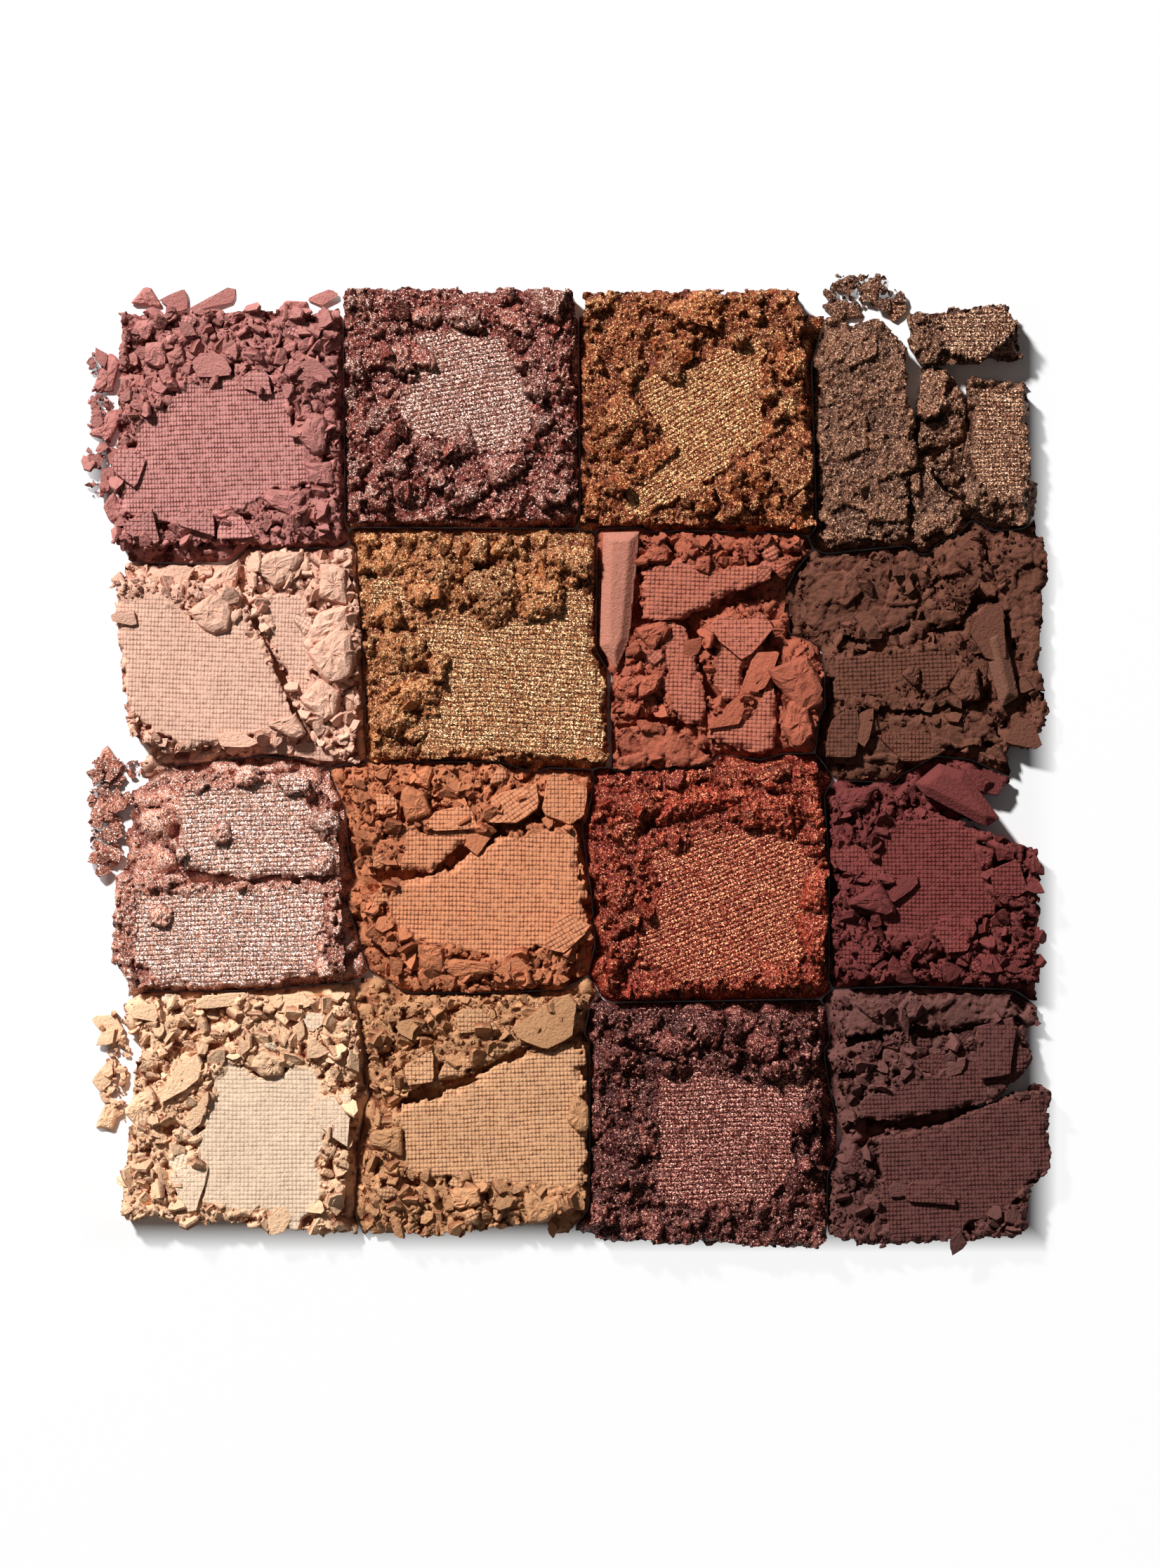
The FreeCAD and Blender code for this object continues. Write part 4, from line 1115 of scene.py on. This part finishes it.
def scatter_tree():
    """Geometry nodes that strew chips and crumbs over a bed, by its rubble and room."""
    tree = bpy.data.node_groups.new("strew_fragments", "GeometryNodeTree")
    face = tree.interface
    face.new_socket("Bed", in_out="INPUT", socket_type="NodeSocketGeometry")
    sockets = {}
    for name, kind in (("Chips", "Collection"), ("Crumbs", "Collection"), ("Powder", "Material")):
        sockets[name] = face.new_socket(name, in_out="INPUT", socket_type=f"NodeSocket{kind}").identifier
    for name in ("Chip Density", "Crumb Density", "Chip Smallest", "Chip Largest", "Crumb Smallest",
                 "Crumb Largest", "Chip Tilt", "Chip Lift", "Crumb Lift"):
        sockets[name] = face.new_socket(name, in_out="INPUT", socket_type="NodeSocketFloat").identifier
    sockets["Seed"] = face.new_socket("Seed", in_out="INPUT", socket_type="NodeSocketInt").identifier
    face.new_socket("Fragments", in_out="OUTPUT", socket_type="NodeSocketGeometry")
    nodes, links = tree.nodes, tree.links
    given = nodes.new("NodeGroupInput")
    result = nodes.new("NodeGroupOutput")

    def math_node(operation, a, b):
        node = nodes.new("ShaderNodeMath")
        node.operation = operation
        for socket, value in zip(node.inputs, (a, b)):
            if isinstance(value, (int, float)):
                socket.default_value = value
            else:
                links.new(value, socket)
        return node.outputs[0]

    def named(name):
        node = nodes.new("GeometryNodeInputNamedAttribute")
        node.data_type = "FLOAT"
        node.inputs["Name"].default_value = name
        return node.outputs["Attribute"]

    def random_float(low, high, offset):
        node = nodes.new("FunctionNodeRandomValue")
        node.data_type = "FLOAT"
        node.inputs[2].default_value = low
        node.inputs[3].default_value = high
        links.new(math_node("ADD", given.outputs["Seed"], offset), node.inputs["Seed"])
        return node.outputs[1]

    layers = []
    for layer, kind, power, offset in (("Chip", "Chips", 2.6, 0), ("Crumb", "Crumbs", 2.0, 50)):
        spread = nodes.new("GeometryNodeDistributePointsOnFaces")
        links.new(given.outputs["Bed"], spread.inputs["Mesh"])
        density = math_node("MULTIPLY", named("rubble"), given.outputs[f"{layer} Density"])
        links.new(density, spread.inputs["Density"])
        links.new(math_node("ADD", given.outputs["Seed"], offset), spread.inputs["Seed"])
        pick = nodes.new("GeometryNodeCollectionInfo")
        links.new(given.outputs[kind], pick.inputs["Collection"])
        pick.inputs["Separate Children"].default_value = True
        pick.inputs["Reset Children"].default_value = True
        share = math_node("POWER", random_float(0, 1, offset + 1), power)
        span = math_node("SUBTRACT", given.outputs[f"{layer} Largest"], given.outputs[f"{layer} Smallest"])
        size = math_node("ADD", given.outputs[f"{layer} Smallest"], math_node("MULTIPLY", share, span))
        size = math_node("MINIMUM", size, math_node("MAXIMUM", named("room"), SMALLEST_FRAGMENT))
        lean = nodes.new("ShaderNodeCombineXYZ")
        if layer == "Chip":
            tilt = given.outputs["Chip Tilt"]
            for k, axis in enumerate("XY"):
                links.new(math_node("MULTIPLY", random_float(-1, 1, offset + 2 + k), tilt), lean.inputs[axis])
        else:
            for k, axis in enumerate("XY"):
                links.new(random_float(0, FULL_TURN, offset + 2 + k), lean.inputs[axis])
        links.new(random_float(0, FULL_TURN, offset + 4), lean.inputs["Z"])
        place = nodes.new("GeometryNodeInstanceOnPoints")
        lift = nodes.new("GeometryNodeSetPosition")
        raised = nodes.new("ShaderNodeCombineXYZ")
        links.new(math_node("MULTIPLY", size, given.outputs[f"{layer} Lift"]), raised.inputs["Z"])
        links.new(spread.outputs["Points"], lift.inputs["Geometry"])
        links.new(raised.outputs[0], lift.inputs["Offset"])
        links.new(lift.outputs[0], place.inputs["Points"])
        links.new(pick.outputs[0], place.inputs["Instance"])
        place.inputs["Pick Instance"].default_value = True
        links.new(lean.outputs[0], place.inputs["Rotation"])
        links.new(size, place.inputs["Scale"])
        store = nodes.new("GeometryNodeStoreNamedAttribute")
        store.data_type = "FLOAT"
        store.domain = "INSTANCE"
        store.inputs["Name"].default_value = "tone"
        links.new(place.outputs[0], store.inputs["Geometry"])
        links.new(random_float(-1, 1, offset + 5), store.inputs["Value"])
        layers.append(store.outputs[0])
    join = nodes.new("GeometryNodeJoinGeometry")
    for out in layers:
        links.new(out, join.inputs[0])
    real = nodes.new("GeometryNodeRealizeInstances")
    paint = nodes.new("GeometryNodeSetMaterial")
    links.new(join.outputs[0], real.inputs[0])
    links.new(real.outputs[0], paint.inputs["Geometry"])
    links.new(given.outputs["Powder"], paint.inputs["Material"])
    links.new(paint.outputs[0], result.inputs[0])
    return tree, sockets


def strew(name, beds, powder_material, seed, **sizes):
    """Strews fragments over one or more beds and returns them as one plain mesh."""
    points, faces, rubble, room = [], [], [], []
    offset, strewn_from = 0, 0.15
    for bed in beds:
        covered = bed.rubble[bed.quads].min(axis=1) > strewn_from
        points.append(bed.points)
        faces += (bed.quads[covered] + offset).tolist()
        rubble.append(bed.rubble)
        room.append(np.maximum(bed.room, 0) * MM)
        offset += len(bed.points)
    ground = new_mesh(f"{name}_bed", np.concatenate(points), faces,
                      {"rubble": np.concatenate(rubble), "room": np.concatenate(room)})
    modifier = ground.modifiers.new("strew", "NODES")
    modifier.node_group = STREW
    modifier[STREW_SOCKETS["Chips"]] = CHIPS
    modifier[STREW_SOCKETS["Crumbs"]] = CRUMBS
    modifier[STREW_SOCKETS["Powder"]] = powder_material
    modifier[STREW_SOCKETS["Seed"]] = seed
    for key, value in sizes.items():
        modifier[STREW_SOCKETS[key.replace("_", " ").title()]] = float(value)
    bpy.context.view_layer.update()
    evaluated = ground.evaluated_get(bpy.context.evaluated_depsgraph_get())
    mesh = bpy.data.meshes.new_from_object(evaluated)
    mesh.name = name
    mesh.materials.clear()
    mesh.materials.append(powder_material)
    mesh.polygons.foreach_set("material_index", [0] * len(mesh.polygons))
    ground.modifiers.clear()
    spare = ground.data
    bpy.data.objects.remove(ground)
    bpy.data.meshes.remove(spare)
    piece = bpy.data.objects.new(name, mesh)
    bpy.context.scene.collection.objects.link(piece)
    return piece


def shader_group(name, inputs, outputs):
    """An empty shader node group with named sockets."""
    group = bpy.data.node_groups.new(name, "ShaderNodeTree")
    for socket, kind, value in inputs:
        made = group.interface.new_socket(socket, in_out="INPUT", socket_type=f"NodeSocket{kind}")
        if value is not None:
            made.default_value = value
    for socket, kind in outputs:
        group.interface.new_socket(socket, in_out="OUTPUT", socket_type=f"NodeSocket{kind}")
    return group, group.nodes.new("NodeGroupInput"), group.nodes.new("NodeGroupOutput")


class Wiring:
    """Short ways to add and join nodes in one tree."""

    def __init__(self, tree):
        self.tree = tree

    def node(self, kind, **settings):
        made = self.tree.nodes.new(kind)
        for key, value in settings.items():
            setattr(made, key, value)
        return made

    def put(self, value, socket):
        if isinstance(value, bpy.types.NodeSocket):
            self.tree.links.new(value, socket)
        else:
            socket.default_value = value

    def math(self, operation, a, b=0.0, clamp=False):
        made = self.node("ShaderNodeMath", operation=operation, use_clamp=clamp)
        self.put(a, made.inputs[0])
        self.put(b, made.inputs[1])
        return made.outputs[0]

    def mix(self, share, a, b, blend="MIX"):
        made = self.node("ShaderNodeMix", data_type="RGBA", blend_type=blend)
        self.put(share, made.inputs["Factor"])
        self.put(a, made.inputs[6])
        self.put(b, made.inputs[7])
        return made.outputs[2]

    def ramp(self, value, low, high, to_low=0.0, to_high=1.0):
        made = self.node("ShaderNodeMapRange", clamp=True)
        for socket, number in zip(made.inputs, (value, low, high, to_low, to_high)):
            self.put(number, socket)
        return made.outputs[0]

    def noise(self, vector, size, detail=2.0):
        made = self.node("ShaderNodeTexNoise")
        self.put(vector, made.inputs["Vector"])
        made.inputs["Scale"].default_value = 1 / (size * MM)
        made.inputs["Detail"].default_value = detail
        return made.outputs["Fac"]


def build_powder_grain():
    """Cloudy and grainy variation of a pressed powder, and the height of its grain."""
    group, given, result = shader_group(
        "powder_grain", [("Vector", "Vector", None)],
        [("Cloud", "Float"), ("Grain", "Float"), ("Height", "Float")])
    w = Wiring(group)
    cloud = w.noise(given.outputs["Vector"], 2.6, 4.0)
    grain = w.noise(given.outputs["Vector"], 0.09, 3.0)
    coarse = w.noise(given.outputs["Vector"], 0.26, 2.0)
    w.put(cloud, result.inputs["Cloud"])
    w.put(grain, result.inputs["Grain"])
    height = w.math("ADD", w.math("MULTIPLY", coarse, 0.8), w.math("MULTIPLY", grain, 0.6))
    w.put(height, result.inputs["Height"])
    return group


def build_cloth_print():
    """The cloth's grooves, from the thread counts that the surface carries."""
    group, given, result = shader_group(
        "cloth_print", [("Thread", "Vector", None), ("Place", "Vector", None), ("Printed", "Float", 0.0),
                        ("Across", "Float", 0.5), ("Along", "Float", 0.5)],
        [("Groove", "Float"), ("Height", "Float")])
    w = Wiring(group)
    split = w.node("ShaderNodeSeparateXYZ")
    w.put(given.outputs["Thread"], split.inputs[0])
    lines = []
    for axis, strength in (("X", "Across"), ("Y", "Along")):
        from_middle = w.math("ABSOLUTE", w.math("SUBTRACT", w.math("FRACT", split.outputs[axis]), 0.5))
        line = w.ramp(from_middle, 0.22, 0.45)
        lines.append(w.math("MULTIPLY", line, given.outputs[strength]))
    crossing = w.math("MULTIPLY", lines[0], lines[1])
    groove = w.math("MAXIMUM", lines[0], lines[1])
    groove = w.math("ADD", groove, crossing, clamp=True)
    uneven = w.ramp(w.noise(given.outputs["Place"], 0.45, 2.0), 0.35, 0.62, 0.3, 1.0)
    groove = w.math("MULTIPLY", w.math("MULTIPLY", groove, uneven), given.outputs["Printed"])
    w.put(groove, result.inputs["Groove"])
    w.put(w.math("SUBTRACT", 1.0, groove), result.inputs["Height"])
    return group


def build_mica():
    """Flat mica flecks: some bright, some deep, each leaning its own way; the bright flecks' near-white
    colour is partly painted highlight, beside their real metallic reflection.
    """
    group, given, result = shader_group(
        "mica_flecks",
        [("Vector", "Vector", None), ("Fleck Size", "Float", 11800.0), ("Powder", "Color", None),
         ("Glint", "Color", None), ("Deep", "Color", None), ("Glint Share", "Float", 0.2),
         ("Deep Share", "Float", 0.25), ("Lean", "Float", 0.8)],
        [("Color", "Color"), ("Roughness", "Float"), ("Metallic", "Float"), ("Normal", "Vector")])
    w = Wiring(group)
    flecks = w.node("ShaderNodeTexVoronoi")
    w.put(given.outputs["Vector"], flecks.inputs["Vector"])
    w.put(given.outputs["Fleck Size"], flecks.inputs["Scale"])
    split = w.node("ShaderNodeSeparateColor")
    w.put(flecks.outputs["Color"], split.inputs[0])
    bright = w.math("LESS_THAN", split.outputs[0], given.outputs["Glint Share"])
    dark = w.math("LESS_THAN", split.outputs[1], given.outputs["Deep Share"])
    color = w.mix(w.math("MULTIPLY", dark, 0.85), given.outputs["Powder"], given.outputs["Deep"])
    color = w.mix(w.math("MULTIPLY", bright, 0.9), color, given.outputs["Glint"])
    w.put(color, result.inputs["Color"])
    w.put(w.ramp(split.outputs[2], 0.0, 1.0, 0.28, 0.6), result.inputs["Roughness"])
    w.put(w.ramp(bright, 0.0, 1.0, 0.25, 0.6), result.inputs["Metallic"])
    centred = w.node("ShaderNodeVectorMath", operation="SUBTRACT")
    w.put(flecks.outputs["Color"], centred.inputs[0])
    centred.inputs[1].default_value = (0.5, 0.5, 0.5)
    scaled = w.node("ShaderNodeVectorMath", operation="SCALE")
    w.put(centred.outputs[0], scaled.inputs[0])
    w.put(given.outputs["Lean"], scaled.inputs["Scale"])
    added = w.node("ShaderNodeVectorMath", operation="ADD")
    w.put(scaled.outputs[0], added.inputs[0])
    w.put(w.node("ShaderNodeNewGeometry").outputs["Normal"], added.inputs[1])
    unit = w.node("ShaderNodeVectorMath", operation="NORMALIZE")
    w.put(added.outputs[0], unit.inputs[0])
    w.put(unit.outputs[0], result.inputs["Normal"])
    return group


GRAIN_HEIGHT = 0.13 * MM

# Where most values of a noise texture lie.
NOISE_SPAN = (0.3, 0.7)


def powder_material(name, powder):
    """The finish of one shade: cloth print, grain, broken colour, painted shade in hollows and grooves, and
    mica where it shimmers.
    """
    material = bpy.data.materials.new(name)
    material.use_nodes = True
    material.node_tree.nodes.clear()
    w = Wiring(material.node_tree)
    out = w.node("ShaderNodeOutputMaterial")
    shader = w.node("ShaderNodeBsdfPrincipled")
    w.put(shader.outputs[0], out.inputs["Surface"])
    place = w.node("ShaderNodeTexCoord").outputs["Object"]
    printed = w.node("ShaderNodeAttribute", attribute_name="printed").outputs["Fac"]
    tone = w.node("ShaderNodeAttribute", attribute_name="tone").outputs["Fac"]
    thread = w.node("ShaderNodeAttribute", attribute_name="thread").outputs["Vector"]
    hollow = w.node("ShaderNodeAttribute", attribute_name="hollow").outputs["Fac"]
    grain = w.node("ShaderNodeGroup", node_tree=POWDER_GRAIN)
    w.put(place, grain.inputs["Vector"])
    cloth = w.node("ShaderNodeGroup", node_tree=CLOTH_PRINT)
    w.put(thread, cloth.inputs["Thread"])
    w.put(printed, cloth.inputs["Printed"])
    w.put(place, cloth.inputs["Place"])
    cloth.inputs["Across"].default_value = 0.55 if powder.shimmer else powder.groove
    cloth.inputs["Along"].default_value = 0.95 if powder.shimmer else 1.08 * powder.groove
    # For a shimmer, places above their surroundings take the pressed colour: partly painted light on raised
    # tops, partly the pressed powder's own paler colour.
    raised = w.math("MAXIMUM", printed, w.ramp(hollow, -0.1, -0.9, 0.0, 0.7)) if powder.shimmer else printed
    color = w.mix(raised, powder.broken, powder.pressed)
    tones = (0.56, 1.34) if powder.shimmer else (0.72, 1.12)
    cloudy = w.ramp(grain.outputs["Cloud"], *NOISE_SPAN, 0.93, 1.05)
    level = w.math("MULTIPLY", w.ramp(tone, -1.0, 1.0, *tones), cloudy)
    level = w.math("MULTIPLY", level, w.ramp(grain.outputs["Grain"], *NOISE_SPAN, 0.9, 1.08))
    grey = w.node("ShaderNodeCombineColor")
    for socket in grey.inputs[:3]:
        w.put(level, socket)
    color = w.mix(1.0, color, grey.outputs[0], "MULTIPLY")
    # Painted shade: hollows, the feet of chips and the cloth's grooves are darkened towards a deep tint.
    painted_shade = w.math("MAXIMUM", w.ramp(hollow, 0.0, 0.9), cloth.outputs["Groove"])
    color = w.mix(painted_shade, color, w.mix(1.0, color, PAINTED_SHADE_TINT, "MULTIPLY"))
    bump = w.node("ShaderNodeBump")
    bump.inputs["Strength"].default_value = 1.0
    bump.inputs["Distance"].default_value = GRAIN_HEIGHT
    grainy = w.math("MULTIPLY", grain.outputs["Height"], w.ramp(printed, 0.0, 1.0, 1.0, 0.4))
    w.put(w.math("ADD", grainy, w.math("MULTIPLY", cloth.outputs["Height"], 0.6)), bump.inputs["Height"])
    if powder.shimmer:
        mica = w.node("ShaderNodeGroup", node_tree=MICA)
        w.put(place, mica.inputs["Vector"])
        w.put(color, mica.inputs["Powder"])
        mica.inputs["Glint"].default_value = powder.glint
        mica.inputs["Deep"].default_value = powder.deep
        # More bright flecks and fewer deep ones on raised places: partly painted highlight on tops and
        # painted shade in hollows.
        w.put(w.ramp(raised, 0.0, 1.0, 0.12, 0.3), mica.inputs["Glint Share"])
        w.put(w.ramp(raised, 0.0, 1.0, 0.36, 0.2), mica.inputs["Deep Share"])
        w.put(mica.outputs["Color"], shader.inputs["Base Color"])
        w.put(mica.outputs["Roughness"], shader.inputs["Roughness"])
        w.put(mica.outputs["Metallic"], shader.inputs["Metallic"])
        w.put(mica.outputs["Normal"], bump.inputs["Normal"])
    else:
        w.put(color, shader.inputs["Base Color"])
        w.put(w.ramp(grain.outputs["Grain"], *NOISE_SPAN, 0.8, 0.98), shader.inputs["Roughness"])
        shader.inputs["Specular IOR Level"].default_value = 0.2
    w.put(bump.outputs[0], shader.inputs["Normal"])
    return material


# Sticks moulded by the pan's rim are paler than the powder inside.
STICK_SHADES = {
    "brick_rim_stick": shade((196, 130, 110), (192, 126, 106)),
    "brown_rim_stick": shade((128, 86, 70), (124, 82, 66)),
}

POWDER_GRAIN = build_powder_grain()
CLOTH_PRINT = build_cloth_print()
MICA = build_mica()
STREW, STREW_SOCKETS = scatter_tree()
CHIPS = fragment_set(chip, "chip", range(61, 69))
CRUMBS = fragment_set(crumb, "crumb", range(71, 77))
MATERIALS = {name: powder_material(f"{name}_powder", powder) for name, powder in SHADES.items()}
STICK_MATERIALS = {node: powder_material(f"{node}_powder", powder) for node, powder in STICK_SHADES.items()}

# How thickly fragments lie, to a square metre of bed, how large they are, and how they lie.
RIM = {"chip_smallest": 0.2 * MM, "chip_largest": 1.15 * MM, "crumb_smallest": 0.07 * MM,
       "chip_tilt": 1.0, "chip_lift": 0.0, "crumb_lift": 0.2}
MATTE_RIM = {"chip_density": 1.5e6, "crumb_density": 6e6, "crumb_largest": 0.32 * MM, **RIM}
SHIMMER_RIM = {"chip_density": 0.12e6, "crumb_density": 3e6, "crumb_largest": 0.24 * MM, **RIM}
SPILL = {"chip_density": 1.4e6, "crumb_density": 7e6, "chip_smallest": 0.3 * MM, "chip_largest": 1.0 * MM,
         "crumb_smallest": 0.1 * MM, "crumb_largest": 0.5 * MM, "chip_tilt": 0.3, "chip_lift": 0.5,
         "crumb_lift": 0.85}
HEAPED_SPILL = {**SPILL, "chip_density": 2.2e6}

# The cakes, shade by shade.
fillings = []
for place, (name, powder) in enumerate(SHADES.items()):
    filling = rubble_between(name, powder, *divmod(place, 4))
    fillings.append(filling)
    piece, bed = solid_piece(f"{name}_rubble", filling, powder.seed, True)
    beds, sheets = [bed], [filling]
    piece.data.materials.append(MATERIALS[name])
    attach(piece, f"{name}_cake")
    for node in BODIES[f"{name}_cake"]:
        if node.endswith("_flakes"):
            continue
        sheet = lay_sheet(node, powder)
        shape_top(sheet, powder)
        piece, bed = solid_piece(f"{node}_powder", sheet, powder.seed * 7 + len(node))
        beds.append(bed)
        sheets.append(sheet)
        piece.data.materials.append(STICK_MATERIALS.get(node, MATERIALS[name]))
        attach(piece, f"{name}_cake")
        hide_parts(node)
    flakes = strew(f"{name}_rim_flakes", beds, MATERIALS[name], powder.seed,
                   **(SHIMMER_RIM if powder.shimmer else MATTE_RIM))
    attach(flakes, f"{name}_cake")
    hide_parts(f"{name}_flakes")
    if not powder.shimmer:
        large = large_flakes(f"{name}_large_flakes", LARGE_FLAKES[name], sheets, filling, powder.seed)
        large.data.materials.append(MATERIALS[name])
        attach(large, f"{name}_cake")


def spill_bed(node, reach):
    """The table round one group of spilled crumbs, kept clear of every cake and its rubble."""
    step, margin, clear_of_cakes, clear_of_rubble = 0.25, 0.3, 0.85, 0.5
    facing_up, least_room, most_room = 0.9, 0.06, 1.0
    low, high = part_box(node)
    cad = frame["nodes"][node].data
    places = np.array([p.center for p in cad.polygons if p.normal.z > facing_up])[:, :2] / MM
    xs = np.arange(low.x / MM - margin, high.x / MM + margin, step)
    ys = np.arange(low.y / MM - margin, high.y / MM + margin, step)
    gx, gy = np.meshgrid(xs, ys)
    away = np.min(np.hypot(gx[..., None] - places[:, 0], gy[..., None] - places[:, 1]), axis=2)
    number = np.arange(gx.size).reshape(gx.shape)
    corners = [number[:-1, :-1], number[:-1, 1:], number[1:, 1:], number[1:, :-1]]
    clear = np.min([-inside_by(gx, gy, outline) for outline in OUTLINES.values()], axis=0) - clear_of_cakes
    strewn = (away < reach) & (clear > 0)
    for filling in fillings:
        row, column, covered = at_grid(filling, gx, gy)
        strewn &= ~(covered & (filling.edge[row, column] > -clear_of_rubble))
    return SimpleNamespace(
        points=np.stack([gx, gy, 0 * gx], axis=-1).reshape(-1, 3),
        quads=np.stack(corners, axis=-1).reshape(-1, 4),
        rubble=strewn.astype(float).ravel(), room=np.clip(clear, least_room, most_room).ravel())


# Crumbs and flakes that stay on the surface; those beside champagne are a heap, which reaches further.
SPILL_REACH, HEAP_REACH = 0.9, 1.8
for node in BODIES["spilled_crumbs"]:
    name = node.split("_")[0]
    reach, spill = (HEAP_REACH, HEAPED_SPILL) if name == "champagne" else (SPILL_REACH, SPILL)
    crumbs = strew(f"{name}_loose_crumbs", [spill_bed(node, reach)], MATERIALS[name],
                   SHADES[name].seed + 500, **spill)
    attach(crumbs, "spilled_crumbs")
    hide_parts(node)
    flakes = large_flakes(f"{name}_spilled_flakes", SPILLED_FLAKES[name], [], None, SHADES[name].seed)
    flakes.data.materials.append(MATERIALS[name])
    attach(flakes, "spilled_crumbs")

for collection in (CHIPS, CRUMBS):
    for spare in list(collection.objects):
        bpy.data.objects.remove(spare)
    bpy.data.collections.remove(collection)

# The floor lies just under the cakes; past their outer edge the camera sees it as white.
FLOOR_SIZE = 6
FLOOR_DROP = 0.02
WHITE_FROM, WHITE_FULL, WHITE_SHARE = 40.5, 43, 0.92

# The softbox stands at the upper left, and the surround fills its shadows.
KEY_ELEVATION = math.radians(38)
KEY_SIDE = (-0.6, 0.8)
KEY_DISTANCE = 1.0
KEY_WIDTH = 0.1
KEY_LEVEL = 1.02
FILL_LEVEL = 0.08

# The camera looks straight down at the tops of the cakes.
LENS = 135
SENSOR = 36
CAKE_TOPS = 2.5


def pale_floor():
    """A plain white floor that the camera sees as white where no shadow falls."""
    bpy.ops.mesh.primitive_plane_add(size=FLOOR_SIZE, location=(0, 0, -FLOOR_DROP * MM))
    floor = bpy.context.object
    floor.name = "floor"
    material = bpy.data.materials.new("pale_floor")
    material.use_nodes = True
    material.node_tree.nodes.clear()
    w = Wiring(material.node_tree)
    out = w.node("ShaderNodeOutputMaterial")
    matte = w.node("ShaderNodeBsdfDiffuse")
    matte.inputs["Color"].default_value = (0.9, 0.9, 0.9, 1)
    glow = w.node("ShaderNodeEmission")
    rays = w.node("ShaderNodeLightPath")
    seen = w.math("MAXIMUM", rays.outputs["Is Camera Ray"], rays.outputs["Is Glossy Ray"])
    seen = w.math("MAXIMUM", seen, rays.outputs["Is Transmission Ray"])
    both = w.node("ShaderNodeMixShader")
    place = w.node("ShaderNodeSeparateXYZ")
    w.put(w.node("ShaderNodeTexCoord").outputs["Object"], place.inputs[0])
    sideways, forward = w.math("ABSOLUTE", place.outputs["X"]), w.math("ABSOLUTE", place.outputs["Y"])
    outward = w.math("MAXIMUM", sideways, forward)
    white = w.ramp(outward, WHITE_FROM * MM, WHITE_FULL * MM, 0.0, WHITE_SHARE)
    w.put(w.math("MULTIPLY", seen, white), both.inputs[0])
    w.put(matte.outputs[0], both.inputs[1])
    w.put(glow.outputs[0], both.inputs[2])
    w.put(both.outputs[0], out.inputs["Surface"])
    floor.data.materials.append(material)


def studio_light():
    """One softbox from the upper left and a soft white surround."""
    world = bpy.data.worlds.new("white_surround")
    bpy.context.scene.world = world
    world.use_nodes = True
    world.node_tree.nodes.clear()
    w = Wiring(world.node_tree)
    out = w.node("ShaderNodeOutputWorld")
    surround = w.node("ShaderNodeBackground")
    rays = w.node("ShaderNodeLightPath")
    surround.inputs["Color"].default_value = (1, 1, 1, 1)
    w.put(w.ramp(rays.outputs["Is Camera Ray"], 0.0, 1.0, FILL_LEVEL, 1.0), surround.inputs["Strength"])
    w.put(surround.outputs[0], out.inputs["Surface"])
    lamp = bpy.data.lights.new("softbox", "AREA")
    lamp.shape = "DISK"
    lamp.size = KEY_WIDTH
    lamp.energy = KEY_LEVEL * math.pi ** 2 * KEY_DISTANCE ** 2 / math.sin(KEY_ELEVATION)
    key = bpy.data.objects.new("softbox", lamp)
    bpy.context.scene.collection.objects.link(key)
    flat = math.cos(KEY_ELEVATION)
    direction = Vector((KEY_SIDE[0] * flat, KEY_SIDE[1] * flat, math.sin(KEY_ELEVATION)))
    key.location = direction * KEY_DISTANCE
    key.rotation_mode = "QUATERNION"
    key.rotation_quaternion = direction.to_track_quat("Z", "Y")


def overhead_camera():
    """Straight down, framed as the photograph is."""
    lens = bpy.data.cameras.new("overhead")
    lens.lens = LENS
    lens.sensor_width = SENSOR
    lens.clip_start = 0.01
    camera = bpy.data.objects.new("overhead", lens)
    bpy.context.scene.collection.objects.link(camera)
    x, y = on_table(PHOTO_SIZE[0] / 2, PHOTO_SIZE[1] / 2)
    distance = PHOTO_SIZE[1] * PHOTO_STEP * MM * LENS / SENSOR
    camera.location = (x * MM, y * MM, distance + CAKE_TOPS * MM)
    bpy.context.scene.camera = camera


pale_floor()
studio_light()
overhead_camera()
bpy.context.scene.view_settings.view_transform = "Standard"
